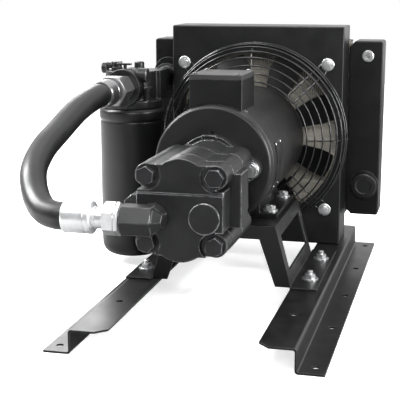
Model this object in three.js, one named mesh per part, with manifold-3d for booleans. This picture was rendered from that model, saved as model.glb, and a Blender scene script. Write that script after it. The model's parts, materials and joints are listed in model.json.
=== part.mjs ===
// Off-line hydraulic oil cooler: an electric motor on a bent-sheet stand turns a gear pump at its front
// and an axial fan at its back. The pump sends the oil through a hose and a spin-on filter to the core.
// Millimetres, +Z up, +Y from the pump towards the core. While the parts are laid out, X = 0 is the motor
// axis, Y = 0 the front face of the fan shroud and Z = 0 the underside of the rails. The whole assembly is
// moved at the end so that its origin is the centre of its footprint, on the floor.
import * as THREE from 'three';
import { mergeVertices } from 'three/addons/utils/BufferGeometryUtils.js';
import Module from 'manifold-3d';

const wasm = await Module();
wasm.setup();

// ---------------------------------------------------------------- driving dimensions
const CLEARANCE = 0.3;                 // gap kept between pieces that touch
const AXIS_Z = 191;                    // height of the motor, fan and pump drive axis

const RAIL = { mid: 9.5, inner: 87.5, web: 132, outer: 163, front: -470, back: 134, height: 29.5,
  sheet: 2.5, cornerCut: 14, holeR: 4.5, holePitch: 140, holeCount: 5, holeX: 150, lastHoleY: 110.9,
  frontHoleX: 109, frontHoleY: -351 };
const STAND = { mid: 4, topHalf: 72, footHalf: 93, footWidth: 35, top: 110, sheet: 2.5, front: -244,
  back: -60, lip: 18, rim: 16, footFront: -252, footBack: -46, boltX: 112.5, boltY: [-205, -98] };
const SHROUD = { left: -127, right: 130, top: 353, depth: 72, sheet: 2, openingR: 124, collar: 18 };
const GUARD = { wire: 2.4, boltOffset: 107.6, eyeR: 6.6,
  rings: [[138, -4], [129, -28], [107, -37], [84, -37]] };
const FAN = { front: 6, back: 44, hubR: 40, tipR: 121, blades: 8, gap: 48, rootWidth: 17, pitch: 0.5,
  sheet: 2.4 };
const CORE = { left: -127, right: 130, bottom: 62, top: 326, front: 72.3, back: 128, rows: 12 };
const TANK = { left: -174.5, right: 179.5, wall: 4, chamfer: 9, portX: 21.1, plugR: 8.9, capR: 20,
  plugDrop: 19.2, capRise: 47.4 };
const MOTOR = { r: 76, boreR: 68, front: -262, back: -20, faceFront: -275, faceR: 72, rearFace: -9 };
const MOTOR_FOOT = { inner: 26, web: 46, outer: 70, front: -196, back: -62, sole: 6, boltX: 57,
  boltY: [-178, -79] };
const TERMINAL_BOX = { left: -33, right: 35, front: -262, back: -185, lidBottom: 298, top: 304, wall: 3 };
const STATOR = { front: -205, back: -65, airGapR: 45.8, slots: 8, slotR: 3.4, slotCircleR: 56 };
const SHAFT = { coreR: 14, bearingR: 12.5, fanR: 9.5, driveR: 8, fanEnd: 50, bearingLength: 15,
  bearingOuterR: 26 };
const PUMP = { front: -275.3, flangeBack: -291, coverBack: -345, gearBack: -397, back: -433,
  boltX: 40, boltZ: 39, boltR: 6, boltSeat: -426.5, ledge: 3.5, earX: 53.2, portX: 29, portZ: 159, portR: 9,
  padX: 63.5, padBack: -359 };
const GEAR = { teeth: 12, centres: 50, pressure: 0.4363, backlash: 0.45, boreR: 29.8 };
const BEARING_BLOCK = { boreR: 8.3, lobeR: 29.3, length: 16, sealR: 14 };
const ELBOW = { y: -455, hexRight: -27, hexLeft: -60 };
const HOSE = { r: 16, ferruleR: 18.8, ferruleLength: 47.5, lowerNeckX: -80.4, upperNeckY: -143 };
const FILTER = { x: -176.5, y: -50, r: 47, bottom: 13.7, canTop: 235, headTop: 289, portZ: 266.5 };

const DRIVEN_Z = AXIS_Z - GEAR.centres;
const PUMP_Z = AXIS_Z - GEAR.centres / 2;
const ALONG_Y = new THREE.Matrix4().makeBasis(
  new THREE.Vector3(1, 0, 0), new THREE.Vector3(0, 0, 1), new THREE.Vector3(0, -1, 0));
const ALONG_X = new THREE.Matrix4().makeBasis(
  new THREE.Vector3(0, 1, 0), new THREE.Vector3(0, 0, 1), new THREE.Vector3(1, 0, 0));

// ---------------------------------------------------------------- materials
function finish(color, roughness, metalness) {
  return () => new THREE.MeshStandardMaterial({ color, roughness, metalness });
}
const blackPowder = finish(0x26272a, 0.55, 0.2);
const blackPaint = finish(0x232426, 0.42, 0.25);
const blackWire = finish(0x1b1c1e, 0.4, 0.4);
const castIron = finish(0x2f3033, 0.6, 0.35);
const darkSteel = finish(0x3a3b3e, 0.45, 0.8);
const zincSteel = finish(0xc4c6c8, 0.3, 0.95);
const groundSteel = finish(0xa9abad, 0.25, 1.0);
const coreAluminium = finish(0x827a70, 0.5, 0.7);
const bronze = finish(0xb08d57, 0.4, 0.9);
const copper = finish(0xb4633a, 0.35, 0.9);
const blackRubber = finish(0x1e1e1f, 0.5, 0.0);
const greyPlastic = finish(0x8a8c8e, 0.5, 0.1);
const filterPaper = finish(0xd8cfb4, 0.9, 0.0);

// ---------------------------------------------------------------- solids
function toSolid(geometry) {
  const bare = geometry.clone();
  bare.deleteAttribute('normal');
  bare.deleteAttribute('uv');
  const merged = mergeVertices(bare, 1e-4);
  return new wasm.Manifold(new wasm.Mesh({
    numProp: 3,
    vertProperties: new Float32Array(merged.attributes.position.array),
    triVerts: new Uint32Array(merged.index.array),
  }));
}

function toGeometry(solid) {
  const mesh = solid.getMesh();
  const geometry = new THREE.BufferGeometry();
  geometry.setAttribute('position', new THREE.BufferAttribute(mesh.vertProperties, 3));
  geometry.setIndex(new THREE.BufferAttribute(mesh.triVerts, 1));
  geometry.computeVertexNormals();
  return geometry;
}

function join(...geometries) {
  return toGeometry(geometries.map(toSolid).reduce((whole, next) => whole.add(next)));
}

function cut(geometry, ...tools) {
  return toGeometry(tools.map(toSolid).reduce((whole, tool) => whole.subtract(tool), toSolid(geometry)));
}

// ---------------------------------------------------------------- basic shapes
function outline(points) {
  return new THREE.Shape(points.map(([a, b]) => new THREE.Vector2(a, b)));
}

// A section drawn in X and Z, run along Y from y0 to y1.
function runY(shape, y0, y1, curveSegments = 12) {
  const geometry = new THREE.ExtrudeGeometry(shape, { depth: y1 - y0, bevelEnabled: false, curveSegments });
  return geometry.applyMatrix4(ALONG_Y).translate(0, y1, 0);
}

// A section drawn in Y and Z, run along X from x0 to x1.
function runX(shape, x0, x1, curveSegments = 12) {
  const geometry = new THREE.ExtrudeGeometry(shape, { depth: x1 - x0, bevelEnabled: false, curveSegments });
  return geometry.applyMatrix4(ALONG_X).translate(x0, 0, 0);
}

// A section drawn in X and Y, run along Z from z0 to z1.
function runZ(shape, z0, z1, curveSegments = 12) {
  const geometry = new THREE.ExtrudeGeometry(shape, { depth: z1 - z0, bevelEnabled: false, curveSegments });
  return geometry.translate(0, 0, z0);
}

function block(x0, x1, y0, y1, z0, z1) {
  const geometry = new THREE.BoxGeometry(x1 - x0, y1 - y0, z1 - z0);
  return geometry.translate((x0 + x1) / 2, (y0 + y1) / 2, (z0 + z1) / 2);
}

function rodY(x, z, r, y0, y1, sides = 12) {
  return new THREE.CylinderGeometry(r, r, y1 - y0, sides).translate(x, (y0 + y1) / 2, z);
}

function rodX(y, z, r, x0, x1, sides = 12) {
  return new THREE.CylinderGeometry(r, r, x1 - x0, sides)
    .rotateZ(Math.PI / 2).translate((x0 + x1) / 2, y, z);
}

function rodZ(x, y, r, z0, z1, sides = 12) {
  return new THREE.CylinderGeometry(r, r, z1 - z0, sides)
    .rotateX(Math.PI / 2).translate(x, y, (z0 + z1) / 2);
}

// Turned about the Y axis. The profile's points, [radius, y], may run either way round.
function turn(profile, sides) {
  const points = profile.map(([r, a]) => new THREE.Vector2(r, a));
  const ordered = THREE.ShapeUtils.area(points) > 0 ? points : points.reverse();
  return new THREE.LatheGeometry(ordered, sides);
}

// Turned about an axis along Y through (x, z): profile points are [radius, y].
function turnY(x, z, profile, sides = 20) {
  return turn(profile, sides).translate(x, 0, z);
}

// Turned about an axis along Z through (x, y): profile points are [radius, z].
function turnZ(x, y, profile, sides = 20) {
  return turn(profile, sides).rotateX(Math.PI / 2).translate(x, y, 0);
}

function tubeY(x, z, outerR, innerR, y0, y1, sides = 20) {
  return turnY(x, z, [[innerR, y0], [outerR, y0], [outerR, y1], [innerR, y1], [innerR, y0]], sides);
}

function tubeZ(x, y, outerR, innerR, z0, z1, sides = 20) {
  return turnZ(x, y, [[innerR, z0], [outerR, z0], [outerR, z1], [innerR, z1], [innerR, z0]], sides);
}

function circle(x, y, r) {
  const shape = new THREE.Shape();
  shape.absarc(x, y, r, 0, Math.PI * 2, false);
  return shape;
}

function hexagon(x, y, acrossFlats, turn = 0) {
  const r = acrossFlats / Math.sqrt(3);
  const corners = Array.from({ length: 6 }, (_, i) => turn + (i * Math.PI) / 3);
  return outline(corners.map((a) => [x + r * Math.cos(a), y + r * Math.sin(a)]));
}

// ---------------------------------------------------------------- assembly
const oilCooler = new THREE.Group();

function place(name, geometry, material) {
  const mesh = new THREE.Mesh(geometry, material());
  mesh.name = name;
  oilCooler.add(mesh);
  return mesh;
}

// ---------------------------------------------------------------- base rails and motor stand
function railGeometry(side) {
  const { mid, sheet, height } = RAIL;
  const at = (offset) => mid + side * offset;
  const section = outline([[at(RAIL.inner), height], [at(RAIL.web), height], [at(RAIL.web), sheet],
    [at(RAIL.outer), sheet], [at(RAIL.outer), 0], [at(RAIL.web - sheet), 0],
    [at(RAIL.web - sheet), height - sheet], [at(RAIL.inner), height - sheet]]);
  const blank = runY(section, RAIL.front, RAIL.back);
  const corner = outline([[at(RAIL.inner - 1), RAIL.front - 1], [at(RAIL.inner + RAIL.cornerCut), RAIL.front - 1],
    [at(RAIL.inner - 1), RAIL.front + RAIL.cornerCut]]);
  const floorHoles = Array.from({ length: RAIL.holeCount }, (_, i) => rodZ(
    at(RAIL.holeX), RAIL.lastHoleY - i * RAIL.holePitch, RAIL.holeR, -1, sheet + 1, 8));
  const frontHole = rodZ(at(RAIL.frontHoleX), RAIL.frontHoleY, RAIL.holeR, height - 4, height + 1, 8);
  const boltHoles = STAND.boltY.map((y) => rodZ(STAND.mid + side * STAND.boltX, y,
    RAIL.holeR, height - 4, height + 1, 8));
  return cut(blank, runZ(corner, height - 5, height + 1), ...floorHoles, frontHole, ...boltHoles);
}

function standGeometry() {
  const { mid, sheet, top, topHalf, footHalf, footWidth, lip, rim } = STAND;
  const foot = RAIL.height + CLEARANCE;
  const half = [[0, top], [topHalf, top], [footHalf, foot + sheet], [footHalf + footWidth, foot + sheet],
    [footHalf + footWidth, foot], [footHalf - sheet, foot], [topHalf - sheet, top - sheet],
    [0, top - sheet]];
  const mirrored = half.slice(1, -1).reverse().map(([x, z]) => [-x, z]);
  const sheetBody = outline([...half.slice(1, -1), ...mirrored].map(([x, z]) => [mid + x, z]));
  const bent = runY(sheetBody, STAND.front, STAND.back);
  const frontFrame = outline([[-topHalf, top], [topHalf, top], [footHalf - sheet, foot],
    [footHalf - sheet - lip, foot], [topHalf - lip - 3, top - lip], [-topHalf + lip + 3, top - lip],
    [-footHalf + sheet + lip, foot], [-footHalf + sheet, foot]].map(([x, z]) => [mid + x, z]));
  const lips = runY(frontFrame, STAND.front, STAND.front + sheet);
  const soles = [-1, 1].map((side) => block(
    Math.min(mid + side * footHalf, mid + side * (footHalf + footWidth)),
    Math.max(mid + side * footHalf, mid + side * (footHalf + footWidth)),
    STAND.footFront, STAND.footBack, foot, foot + sheet));
  const window = outline([[STAND.front + rim + 4, foot + sheet + rim], [STAND.back - rim, foot + sheet + rim],
    [STAND.back - rim, top - rim], [STAND.front + rim + 4, top - rim]]);
  const windows = [-1, 1].map((side) => runX(window, mid + side * 88 - 26, mid + side * 88 + 26));
  const boltHoles = [-1, 1].flatMap((side) => STAND.boltY.map((y) => rodZ(
    mid + side * STAND.boltX, y, RAIL.holeR, foot - 1, foot + sheet + 1, 8)));
  const footHoles = [-1, 1].flatMap((side) => MOTOR_FOOT.boltY.map((y) => rodZ(
    side * MOTOR_FOOT.boltX, y, RAIL.holeR, top - sheet - 1, top + 1, 8)));
  return cut(join(bent, lips, ...soles), ...windows, ...boltHoles, ...footHoles);
}

place('left_rail', railGeometry(-1), blackPowder);
place('right_rail', railGeometry(1), blackPowder);
place('motor_stand', standGeometry(), blackPowder);

// ---------------------------------------------------------------- fan shroud, guard and fan
function shroudGeometry() {
  const bottom = RAIL.height + CLEARANCE;
  const { left, right, top, depth, sheet, openingR, collar } = SHROUD;
  const shell = block(left, right, 0, depth, bottom, top);
  const inside = block(left + sheet, right - sheet, sheet, depth + 1, bottom + sheet, top - sheet);
  const ring = tubeY(0, AXIS_Z, openingR + sheet, openingR, 0.5, collar, 24);
  const opening = rodY(0, AXIS_Z, openingR, -1, sheet + 1, 24);
  const boltHoles = guardBoltPlaces().map(([x, z]) => rodY(x, z, 4.4, -1, sheet + 1, 8));
  return cut(join(cut(shell, inside, opening), ring), ...boltHoles);
}

function guardBoltPlaces() {
  const o = GUARD.boltOffset;
  return [[-o, AXIS_Z + o], [o, AXIS_Z + o], [-o, AXIS_Z - o], [o, AXIS_Z - o]];
}

// A bent square wire that runs outwards over the rings at one angle, offset sideways from the radius.
function spoke(angle, offset, path) {
  const half = GUARD.wire / 2;
  const slant = half * 0.75;
  const outerEdge = path.map(([r, y]) => [r + slant, y - slant + half]);
  const innerEdge = path.map(([r, y]) => [r - slant, y + slant + half]).reverse();
  return runZ(outline([...outerEdge, ...innerEdge]), offset - half, offset + half)
    .rotateY(-angle).translate(0, 0, AXIS_Z);
}

function guardGeometry() {
  const half = GUARD.wire / 2;
  const rings = GUARD.rings.map(([r, y]) => tubeY(0, AXIS_Z, r + half, r - half, y - half, y + half, 16));
  const quarters = [0, 1, 2, 3].map((i) => (i * Math.PI) / 2);
  const single = quarters.map((angle) => spoke(angle, 0, GUARD.rings));
  const toEye = [[GUARD.boltOffset * Math.SQRT2 - 1, -3], ...GUARD.rings];
  const paired = quarters.flatMap((angle) => [-1, 1].map((side) => spoke(
    angle + Math.PI / 4, side * GUARD.eyeR, toEye)));
  const eyes = guardBoltPlaces().map(([x, z]) => tubeY(
    x, z, GUARD.eyeR + half, GUARD.eyeR - half, -2.9, -0.5, 8));
  return join(...rings, ...single, ...paired, ...eyes);
}

function guardBoltGeometry(x, z) {
  const seat = -3.2;
  const washer = rodY(x, z, 9.25, seat - 1.8, seat, 16);
  const head = runY(hexagon(x, z, 13, Math.PI / 6), seat - 7.2, seat - 1.5);
  const shank = rodY(x, z, 4, seat - 2, SHROUD.sheet + 10, 8);
  const nut = runY(hexagon(x, z, 13, Math.PI / 6), SHROUD.sheet + CLEARANCE, SHROUD.sheet + 6.8);
  return join(washer, head, shank, nut);
}

function fanGeometry() {
  const { front, back, hubR, tipR, blades, gap, rootWidth, pitch, sheet } = FAN;
  const hub = turnY(0, AXIS_Z, [[SHAFT.fanR + CLEARANCE, front], [hubR, front], [hubR, back],
    [hubR - 3, back], [hubR - 3, front + 4], [17, front + 4], [17, back - 4],
    [SHAFT.fanR + CLEARANCE, back - 4], [SHAFT.fanR + CLEARANCE, front]], 24);
  const tipWidth = (2 * Math.PI * tipR) / blades - gap;
  const leaf = outline([[hubR - 2, -rootWidth / 2], [68, -rootWidth / 2], [tipR * 0.985, -tipWidth / 2],
    [tipR, 0], [tipR * 0.985, tipWidth / 2], [68, rootWidth / 2], [hubR - 2, rootWidth / 2]]);
  const bladeRing = Array.from({ length: blades }, (_, i) => {
    const blade = new THREE.ExtrudeGeometry(leaf, { depth: sheet, bevelEnabled: false });
    blade.translate(0, 0, -sheet / 2).applyMatrix4(ALONG_Y).rotateX(pitch);
    return blade.rotateY(((i + 0.5) * 2 * Math.PI) / blades).translate(0, (front + back) / 2, AXIS_Z);
  });
  return join(hub, ...bladeRing);
}

place('fan_shroud', shroudGeometry(), blackPowder);
place('fan_guard', guardGeometry(), blackWire);
guardBoltPlaces().forEach(([x, z], i) => place(`guard_bolt_${i + 1}`, guardBoltGeometry(x, z), zincSteel));
place('fan', fanGeometry(), blackPaint);

// ---------------------------------------------------------------- cooler core and its tanks
function coreGeometry() {
  const { left, right, bottom, top, front, back, rows } = CORE;
  const pitch = (top - bottom) / rows;
  const bar = 7;
  const recess = 4;
  const frontEdge = [];
  const backEdge = [];
  for (let row = 0; row < rows; row += 1) {
    const z = bottom + row * pitch;
    frontEdge.push([front, z], [front, z + bar], [front + recess, z + bar], [front + recess, z + pitch]);
    backEdge.push([back, z], [back, z + bar], [back - recess, z + bar], [back - recess, z + pitch]);
  }
  frontEdge.push([front, top], [front, top + 3]);
  backEdge.push([back, top], [back, top + 3]);
  return runX(outline([...frontEdge, ...backEdge.reverse()]), left + CLEARANCE, right - CLEARANCE);
}

// A welded tank: closed on five sides and open to the core. Its large port faces the front.
function tankGeometry(side) {
  const { wall, chamfer, portX, plugR, capR } = TANK;
  const coreFace = side > 0 ? CORE.right : CORE.left;
  const outer = side > 0 ? TANK.right : TANK.left;
  const { bottom, front, back } = CORE;
  const top = CORE.top + 3;
  const corner = coreFace + side * chamfer;
  const face = outline([[coreFace, bottom + chamfer], [corner, bottom], [outer, bottom], [outer, top],
    [corner, top], [coreFace, top - chamfer]]);
  const shell = runY(face, front, back);
  const insideEnd = outer - side * wall;
  const hollow = block(Math.min(coreFace - side, insideEnd), Math.max(coreFace - side, insideEnd),
    front + wall, back - wall, bottom + chamfer + wall, top - chamfer - wall);
  const places = tankPorts(side);
  const collar = rodY(places.large.x, places.large.z, capR + 2, front - 6, front + 1, 24);
  const largeBore = rodY(places.large.x, places.large.z, 12, front - 7, front + wall + 1, 14);
  const smallBore = rodY(places.small.x, places.small.z, plugR - 3, front - 1, front + wall + 1, 12);
  return cut(join(shell, collar), hollow, largeBore, smallBore);
}

// The two tanks are the same part, turned half a turn about the core's centre.
function tankPorts(side) {
  const outer = side > 0 ? TANK.right : TANK.left;
  const x = outer - side * TANK.portX;
  const low = CORE.bottom + TANK.capRise;
  const high = CORE.top - TANK.plugDrop;
  const turned = (z) => CORE.bottom + CORE.top - z;
  return side > 0
    ? { large: { x, z: low }, small: { x, z: high } }
    : { large: { x, z: turned(low) }, small: { x, z: turned(high) } };
}

function tankPlugGeometry({ x, z }) {
  const { front } = CORE;
  const head = rodY(x, z, TANK.plugR, front - 5.3, front - CLEARANCE, 16);
  const socket = runY(hexagon(x, z, 8), front - 6, front - 2);
  const thread = rodY(x, z, TANK.plugR - 3 - CLEARANCE, front - 1, front + TANK.wall, 12);
  return cut(join(head, thread), socket);
}

place('cooler_core', coreGeometry(), coreAluminium);
place('left_tank', tankGeometry(-1), blackPaint);
place('right_tank', tankGeometry(1), blackPaint);
place('left_tank_plug', tankPlugGeometry(tankPorts(-1).small), zincSteel);
place('right_tank_plug', tankPlugGeometry(tankPorts(1).small), zincSteel);
{
  const { x, z } = tankPorts(1).large;
  const seat = CORE.front - 6 - CLEARANCE;
  const cap = turnY(x, z, [[0, seat - 8], [TANK.capR - 2, seat - 8], [TANK.capR, seat - 6], [TANK.capR, seat],
    [11.5, seat], [11.5, seat + 9], [0, seat + 9]], 24);
  place('tank_port_cap', cap, blackPaint);
}

// ---------------------------------------------------------------- motor
function housingGeometry() {
  const tube = tubeY(0, AXIS_Z, MOTOR.r, MOTOR.boreR, MOTOR.front, MOTOR.back, 24);
  const cableHole = rodZ(0, -224, 9, AXIS_Z + 60, AXIS_Z + 90, 12);
  return cut(tube, cableHole);
}

function frontShieldGeometry() {
  const { faceFront, front, faceR, boreR } = MOTOR;
  const seatR = SHAFT.bearingOuterR + CLEARANCE;
  const body = turnY(0, AXIS_Z, [[18, faceFront], [faceR, faceFront], [MOTOR.r, faceFront + 4],
    [MOTOR.r, front - CLEARANCE], [boreR - CLEARANCE, front - CLEARANCE], [boreR - CLEARANCE, front + 6],
    [seatR + 6, front + 6], [seatR + 6, front + 16], [seatR, front + 16], [seatR, front - 1],
    [18, front - 1], [18, faceFront]], 24);
  const earHoles = [-1, 1].map((side) => rodY(side * PUMP.earX, AXIS_Z, 5.4, faceFront - 1, front + 7, 12));
  const drain = rodY(0, AXIS_Z + 42, 3, faceFront - 1, faceFront + 5, 8);
  return cut(body, ...earHoles, drain);
}

function rearShieldGeometry() {
  const { rearFace, back, boreR } = MOTOR;
  const seatR = SHAFT.bearingOuterR + CLEARANCE;
  return turnY(0, AXIS_Z, [[SHAFT.bearingR + 1.5, rearFace], [MOTOR.r - 4, rearFace], [MOTOR.r, rearFace - 4],
    [MOTOR.r, back + CLEARANCE], [boreR - CLEARANCE, back + CLEARANCE], [boreR - CLEARANCE, back - 5],
    [seatR + 6, back - 5], [seatR + 6, back - 10], [seatR, back - 10], [seatR, back + 6],
    [SHAFT.bearingR + 1.5, back + 6], [SHAFT.bearingR + 1.5, rearFace]], 24);
}

const BEARING_FRONT = [MOTOR.front - 0.7, MOTOR.front - 0.7 + SHAFT.bearingLength];
const BEARING_REAR = [MOTOR.back + 5.7 - SHAFT.bearingLength, MOTOR.back + 5.7];

function shaftGeometry() {
  const { coreR, bearingR, fanR, driveR, fanEnd } = SHAFT;
  const socketR = driveR + CLEARANCE;
  return turnY(0, AXIS_Z, [[socketR, MOTOR.faceFront + 3], [bearingR - CLEARANCE, MOTOR.faceFront + 3],
    [bearingR - CLEARANCE, BEARING_FRONT[1] + 2], [coreR, BEARING_FRONT[1] + 2], [coreR, BEARING_REAR[0] - 2],
    [bearingR - CLEARANCE, BEARING_REAR[0] - 2], [bearingR - CLEARANCE, FAN.front - 4],
    [fanR, FAN.front - 4], [fanR, fanEnd], [0, fanEnd], [0, -235], [socketR, -235],
    [socketR, MOTOR.faceFront + 3]], 24);
}

function slotRods(r, y0, y1) {
  const { slots, slotCircleR } = STATOR;
  return Array.from({ length: slots }, (_, i) => {
    const angle = (i * 2 * Math.PI) / slots;
    return rodY(slotCircleR * Math.cos(angle), AXIS_Z + slotCircleR * Math.sin(angle), r, y0, y1, 6);
  });
}

function statorGeometry() {
  const { front, back, airGapR, slotR } = STATOR;
  const stack = tubeY(0, AXIS_Z, MOTOR.boreR - CLEARANCE, airGapR, front, back, 24);
  return cut(stack, ...slotRods(slotR, front - 1, back + 1));
}

// The winding: an end coil at each end of the stator, joined by the bars that lie in its slots.
function windingGeometry() {
  const { front, back, slotR } = STATOR;
  const coil = (y0, y1) => turnY(0, AXIS_Z, [[49, y0 + 3], [52, y0], [61, y0], [64, y0 + 3], [64, y1 - 3],
    [61, y1], [52, y1], [49, y1 - 3], [49, y0 + 3]], 24);
  return join(coil(front - 33, front - CLEARANCE), coil(back + CLEARANCE, back + 31),
    ...slotRods(slotR - CLEARANCE, front - 2, back + 2));
}

function motorFootGeometry(side) {
  const { inner, web, outer, front, back, sole, boltX, boltY } = MOTOR_FOOT;
  const base = STAND.top + CLEARANCE;
  const section = outline([[inner, base], [outer, base], [outer, base + sole], [web, base + sole],
    [web, base + 34], [inner, base + 34]].map(([x, z]) => [side * x, z]));
  const body = rodY(0, AXIS_Z, MOTOR.r + CLEARANCE, front - 1, back + 1, 24);
  const holes = boltY.map((y) => rodZ(side * boltX, y, RAIL.holeR, base - 1, base + sole + 1, 8));
  return cut(runY(section, front, back), body, ...holes);
}

function terminalBoxGeometry() {
  const { left, right, front, back, lidBottom, wall } = TERMINAL_BOX;
  const shell = block(left, right, front, back, 245, lidBottom);
  const inside = block(left + wall, right - wall, front + wall, back - wall, 240, lidBottom + 1);
  const seat = rodY(0, AXIS_Z, MOTOR.r + CLEARANCE, front - 1, back + 1, 24);
  const gland = rodX(-205, 284, 8, left - 1, left + wall + 1, 12);
  return cut(shell, inside, seat, gland);
}

function nameplateGeometry() {
  const r = MOTOR.r + CLEARANCE;
  const from = -0.46;
  const to = 0.36;
  const section = new THREE.Shape();
  section.absarc(0, 0, r + 0.8, from, to, false);
  section.absarc(0, 0, r, to, from, true);
  return runY(section, -236, -198, 10).translate(0, 0, AXIS_Z);
}

place('motor_housing', housingGeometry(), blackPaint);
place('motor_front_shield', frontShieldGeometry(), blackPaint);
place('motor_rear_shield', rearShieldGeometry(), blackPaint);
place('motor_shaft', shaftGeometry(), groundSteel);
place('rotor_core', tubeY(0, AXIS_Z, STATOR.airGapR - 0.8, SHAFT.coreR + CLEARANCE, STATOR.front, STATOR.back, 24),
  darkSteel);
place('stator_core', statorGeometry(), darkSteel);
place('stator_winding', windingGeometry(), copper);
for (const [name, [y0, y1]] of [['motor_bearing_front', BEARING_FRONT], ['motor_bearing_rear', BEARING_REAR]]) {
  place(name, tubeY(0, AXIS_Z, SHAFT.bearingOuterR, SHAFT.bearingR, y0, y1, 24), groundSteel);
}
place('motor_foot_left', motorFootGeometry(-1), blackPaint);
place('motor_foot_right', motorFootGeometry(1), blackPaint);
place('terminal_box', terminalBoxGeometry(), blackPaint);
place('terminal_lid', block(TERMINAL_BOX.left, TERMINAL_BOX.right, TERMINAL_BOX.front, TERMINAL_BOX.back,
  TERMINAL_BOX.lidBottom + CLEARANCE, TERMINAL_BOX.top), greyPlastic);
place('data_plate', nameplateGeometry(), blackPaint);

// ---------------------------------------------------------------- gear pump
function pumpBoltPlaces() {
  const { boltX, boltZ } = PUMP;
  return [[-boltX, PUMP_Z + boltZ], [boltX, PUMP_Z + boltZ], [-boltX, PUMP_Z - boltZ], [boltX, PUMP_Z - boltZ]];
}

// The casting outline shared by the pump's three sections: two gear bulges, four bolt lobes, two cheeks.
function pumpSection(bulgeR, lobeR, cheekX, y0, y1) {
  const bulges = [AXIS_Z, DRIVEN_Z].map((z) => rodY(0, z, bulgeR, y0, y1, 20));
  const lobes = pumpBoltPlaces().map(([x, z]) => rodY(x, z, lobeR, y0, y1, 12));
  const cheeks = block(-cheekX, cheekX, y0, y1, PUMP_Z - 23, PUMP_Z + 23);
  const reach = PUMP.boltZ + lobeR - 0.8;
  const web = block(-PUMP.boltX, PUMP.boltX, y0, y1, PUMP_Z - reach, PUMP_Z + reach);
  return join(...bulges, ...lobes, cheeks, web);
}

function pumpBoltHoles(y0, y1) {
  return pumpBoltPlaces().map(([x, z]) => rodY(x, z, PUMP.boltR + CLEARANCE, y0, y1, 12));
}

function frontCoverGeometry() {
  const { front, flangeBack, coverBack, earX } = PUMP;
  const body = pumpSection(34.8, 14.3, 50.5, coverBack, flangeBack + 1);
  const bigR = 41;
  const earR = 11.5;
  const tangent = Math.acos((bigR - earR) / earX);
  const flange = new THREE.Shape();
  flange.absarc(earX, AXIS_Z, earR, -tangent, tangent, false);
  flange.absarc(0, AXIS_Z, bigR, tangent, Math.PI - tangent, false);
  flange.absarc(-earX, AXIS_Z, earR, Math.PI - tangent, Math.PI + tangent, false);
  flange.absarc(0, AXIS_Z, bigR, Math.PI + tangent, 2 * Math.PI - tangent, false);
  const plate = runY(flange, flangeBack, front, 6);
  const shaftBores = [AXIS_Z, DRIVEN_Z].map((z) => rodY(0, z, BEARING_BLOCK.boreR + 1, coverBack - 1, -320, 14));
  const sealBore = rodY(0, AXIS_Z, BEARING_BLOCK.sealR + CLEARANCE, -322, front + 1, 16);
  const earHoles = [-1, 1].map((side) => rodY(side * earX, AXIS_Z, 5.4, flangeBack - 1, front + 1, 12));
  const headRoom = [-1, 1].map((side) => rodY(side * earX, AXIS_Z, 11.6, coverBack - 1, flangeBack, 16));
  return cut(join(cut(body, ...headRoom), plate), ...shaftBores, sealBore, ...earHoles,
    ...pumpBoltHoles(coverBack - 1, -300));
}

function gearHousingGeometry() {
  const y0 = PUMP.gearBack + CLEARANCE;
  const y1 = PUMP.coverBack - CLEARANCE;
  const body = pumpSection(35, 14.3, 55, y0, y1);
  const boss = runY(outline([[-50, 150], [-70, 150], [-79, 156], [-79, 166], [-70, 174], [-50, 174]]),
    y0 + 6, y1 - 12);
  const chambers = [AXIS_Z, DRIVEN_Z].map((z) => rodY(0, z, GEAR.boreR, y0 - 1, y1 + 1, 20));
  const pockets = block(-38, 38, y0 - 1, y1 + 1, PUMP.portZ - 7, PUMP_Z + 9);
  const pad = block(40, PUMP.padX, y0, PUMP.padBack, PUMP_Z - 24, PUMP_Z + PUMP.boltZ);
  return cut(join(body, boss, pad), ...chambers, pockets, ...pumpBoltHoles(y0 - 1, y1 + 1));
}

function rearCoverGeometry() {
  const { back, gearBack, portX, portZ, portR } = PUMP;
  const body = pumpSection(34.5, 13.9, 50.5, back, gearBack);
  const boltPads = pumpBoltPlaces().map(([x, z]) => rodY(x, z, 16.3, back - 1, PUMP.boltSeat, 16));
  const aboveLedge = block(-60, 60, back - 1, back + PUMP.ledge, PUMP.portZ + 26, AXIS_Z + 40);
  const shaftBores = [AXIS_Z, DRIVEN_Z].map((z) => rodY(0, z, BEARING_BLOCK.boreR + 1, -422, gearBack + 1, 14));
  const ports = [-1, 1].map((side) => rodY(side * portX, portZ, portR, back - 1, gearBack + 1, 14));
  return cut(body, aboveLedge, ...boltPads, ...shaftBores, ...ports, ...pumpBoltHoles(back - 1, gearBack + 1));
}

// Spur gear outline with involute flanks, its teeth at whole steps of angle from `turn`.
function gearOutline(turn) {
  const { teeth, centres, pressure, backlash } = GEAR;
  const pitchR = centres / 2;
  const module = centres / teeth;
  const baseR = pitchR * Math.cos(pressure);
  const tipR = pitchR + module * 0.95;
  const rootR = pitchR - module * 1.15;
  const involute = (a) => Math.tan(a) - a;
  const halfTooth = Math.PI / (2 * teeth) - backlash / (2 * pitchR) + involute(pressure);
  const halfAt = (r) => halfTooth - involute(Math.acos(Math.min(1, baseR / r)));
  const flank = [rootR, ...[0, 0.25, 0.5, 0.75, 1].map((t) => baseR + (tipR - baseR) * t)];
  const points = [];
  for (let tooth = 0; tooth < teeth; tooth += 1) {
    const middle = turn + (tooth * 2 * Math.PI) / teeth;
    const polar = (r, angle) => [r * Math.cos(angle), r * Math.sin(angle)];
    flank.forEach((r) => points.push(polar(r, middle - halfAt(Math.max(r, baseR)))));
    [...flank].reverse().forEach((r) => points.push(polar(r, middle + halfAt(Math.max(r, baseR)))));
  }
  return outline(points);
}

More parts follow.
